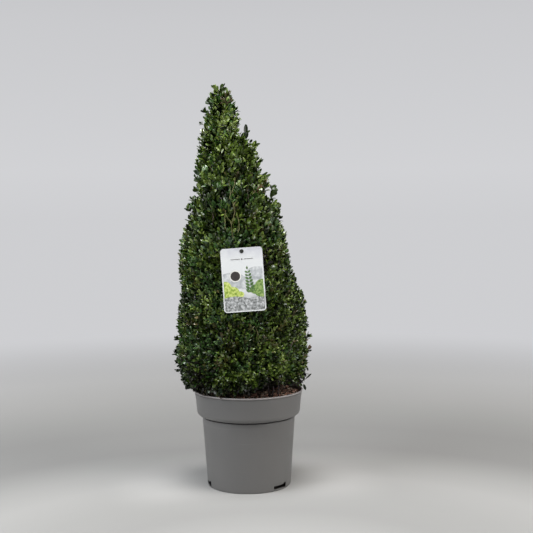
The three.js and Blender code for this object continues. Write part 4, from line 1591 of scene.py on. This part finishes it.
def hills(bm, rows):
    # each one a hair above the last
    for step, (place, width, height) in enumerate(rows):
        verts = flatDisc(bm, mm, 48)
        shaped(bm, verts, (width, height), 0, place)
        bmesh.ops.translate(bm, vec=(0, 0, step * printLook["layer"] / 10), verts=verts)


def divider(bm, place, reach):
    # a lozenge between two fine rules
    x, y = place
    shaped(bm, flatDisc(bm, mm, 4), (1.3, 1.9), 0, place)
    for side in (-1, 1):
        verts = bmesh.ops.create_grid(bm, x_segments=1, y_segments=1, size=0.5 * mm)["verts"]
        shaped(bm, verts, (reach, 0.7), 0, (x + side * (reach / 2 + 3.5), y))


def sprig(bm, foot, bearing, count, length):
    # pairs of leaves up a straight stalk, smaller towards the tip
    way = np.array([math.cos(math.radians(bearing)), math.sin(math.radians(bearing))])
    for i in range(count):
        place = np.array(foot) + way * i * length * 0.55
        size = length * (1 - 0.45 * i / count)
        for turn in (52, -52):
            flatLeaf(bm, size, bearing + turn, place)
    flatLeaf(bm, length * 0.6, bearing, np.array(foot) + way * count * length * 0.55)


def inked(look, layer, draw, *args):
    # one flat printed piece, trimmed to the card and laid a hair above its face
    bm = bmesh.new()
    draw(bm, *args)
    border = printLook["border"]
    for way, half in (((1, 0, 0), look["width"] / 2), ((0, 1, 0), look["height"] / 2)):
        for sign in (1, -1):
            normal = Vector(way) * sign
            bmesh.ops.bisect_plane(
                bm, geom=bm.verts[:] + bm.edges[:] + bm.faces[:], plane_co=normal * (half - border),
                plane_no=normal, clear_outer=True,
            )
    bmesh.ops.recalc_face_normals(bm, faces=bm.faces)
    bm.normal_update()
    flipped = [face for face in bm.faces if face.normal.z < 0]
    bmesh.ops.reverse_faces(bm, faces=flipped)
    lift = look["thickness"] / 2 + printLook["layer"] * layer
    bmesh.ops.transform(bm, matrix=cardPlace @ Matrix.Translation((0, 0, lift)), verts=bm.verts)
    return bm


def cardMaterial(look):
    material = bpy.data.materials.new("card_plastic")
    tree, shader = nodesOf(material)
    low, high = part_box("label_card")
    height = rangeNode(tree, heightNode(tree), (low.z, high.z))
    shade = rampNode(tree, height, [(at, look[name]) for at, name in look["shades"]])
    colour = overlay(tree, noiseNode(tree, 38, 3), look["veil"], shade, look["white"])
    tree.links.new(colour, shader.inputs["Base Color"])
    film = noiseNode(tree, 90, 3)
    tree.links.new(rangeNode(tree, film, end=look["roughness"]), shader.inputs["Roughness"])
    bumpInto(tree, shader, film, *look["bump"])
    return material


def makeCard(look):
    bm = bmesh.new()
    bmesh.ops.create_grid(bm, x_segments=1, y_segments=1, size=0.5)
    bmesh.ops.scale(bm, vec=(look["width"], look["height"], 1), verts=bm.verts)
    bmesh.ops.bevel(
        bm, geom=bm.verts[:], offset=look["corner"], affect="VERTICES", segments=8, profile=0.5,
        material=-1, offset_type="OFFSET",
    )
    bmesh.ops.delete(bm, geom=bm.faces[:], context="FACES_ONLY")
    hole = bmesh.ops.create_circle(bm, cap_ends=False, segments=24, radius=look["holeRadius"])
    bmesh.ops.translate(bm, vec=(*look["hole"], 0), verts=hole["verts"])
    bmesh.ops.triangle_fill(
        bm, edges=bm.edges, use_beauty=True, use_dissolve=False, normal=(0, 0, 1),
    )
    bmesh.ops.recalc_face_normals(bm, faces=bm.faces)
    made = bmesh.ops.extrude_face_region(bm, geom=bm.faces[:], use_keep_orig=True)["geom"]
    top = [vert for vert in made if isinstance(vert, bmesh.types.BMVert)]
    bmesh.ops.translate(bm, vec=(0, 0, look["thickness"]), verts=top)
    bmesh.ops.translate(bm, vec=(0, 0, -look["thickness"] / 2), verts=bm.verts)
    bmesh.ops.recalc_face_normals(bm, faces=bm.faces)
    bmesh.ops.transform(bm, matrix=cardPlace, verts=bm.verts)
    mesh, material = meshOf("hang_card", bm), cardMaterial(printLook)
    addPiece("hang_card", mesh, material, "label_card", "label_card", smooth=False)


def makePrint():
    far = [((-22, 1), 26, 13), ((26, 6), 22, 17), ((4, -6), 24, 12)]
    hedge = [((34, -13), 13, 12), ((22, -19), 11, 9), ((33, -25), 13, 9)]
    shrubs = [((-33, -14), 11, 12), ((-20, -21), 11, 9), ((-31, -25), 12, 9), ((-8, -27), 8, 6)]
    field = [((-18, -61), 46, 31), ((24, -60), 40, 27), ((0, -66), 44, 22)]
    art = [
        ("print_far", "ink_mist", 1, hills, far),
        ("print_hedge", "ink_leaf", 2, hills, hedge),
        ("print_shrubs", "ink_lime", 3, hills, shrubs),
        ("print_field", "ink_grey", 4, hills, field),
        ("print_sprig", "ink_blades", 5, sprig, (13, -24), 96, 7, 11),
        ("print_ring", "ink_ring", 6, hills, [((-14, 7), 10.8, 10.8)]),
        ("print_seed", "ink_dark", 7, hills, [((-14, 7), 8.8, 8.8)]),
        ("print_divider", "ink_dark", 8, divider, (0, 38), 17),
    ]
    inks = {
        name: mottled(name, {
            "grain": (scale, 4, 0.6),
            "colours": list(zip(printLook["inkStops"], colours)),
            "roughness": printLook["inkRoughness"],
        })
        for name, (*colours, scale) in printInks.items()
    }
    for name, ink, layer, draw, *args in art:
        mesh = meshOf(name, inked(cardLook, layer, draw, *args))
        addPiece(name, mesh, inks[ink], "label_card", smooth=False)


tieLook = {
    "headRadius": 3.8 * mm,
    "headHeight": 1.0 * mm,
    "gap": 0.3 * mm,
    "stalkRadius": 1.1 * mm,
    "stalkLength": 30 * mm,
    "grain": (420, 3),
    "colours": [(0.3, (0.012, 0.013, 0.011)), (0.7, (0.022, 0.024, 0.020))],
    "roughness": 0.45,
}


def makeTie(look):
    face = cardLook["thickness"] / 2 + look["gap"]
    radius, height, stalk = look["headRadius"], look["headHeight"], look["stalkRadius"]
    dome = [
        (radius * math.cos(a), face + height * (0.35 + 0.65 * math.sin(a)))
        for a in np.linspace(0, math.pi / 2, 6)[:-1]
    ]
    bm = turned([
        (0, -look["stalkLength"]),
        (stalk * 0.5, -look["stalkLength"]),
        (stalk, -look["stalkLength"] + 2 * mm),
        (stalk, face),
        (radius * 0.96, face),
        *dome,
        (0, face + height),
    ], 32)
    shift = Matrix.Translation((*cardLook["hole"], 0))
    bmesh.ops.transform(bm, matrix=cardPlace @ shift, verts=bm.verts)
    plastic = mottled("tie_plastic", look)
    addPiece("card_tie", meshOf("card_tie", bm), plastic, "label_tie", "label_tie")


makeCard(cardLook)
makePrint()
makeTie(tieLook)
print("card and tie hung")
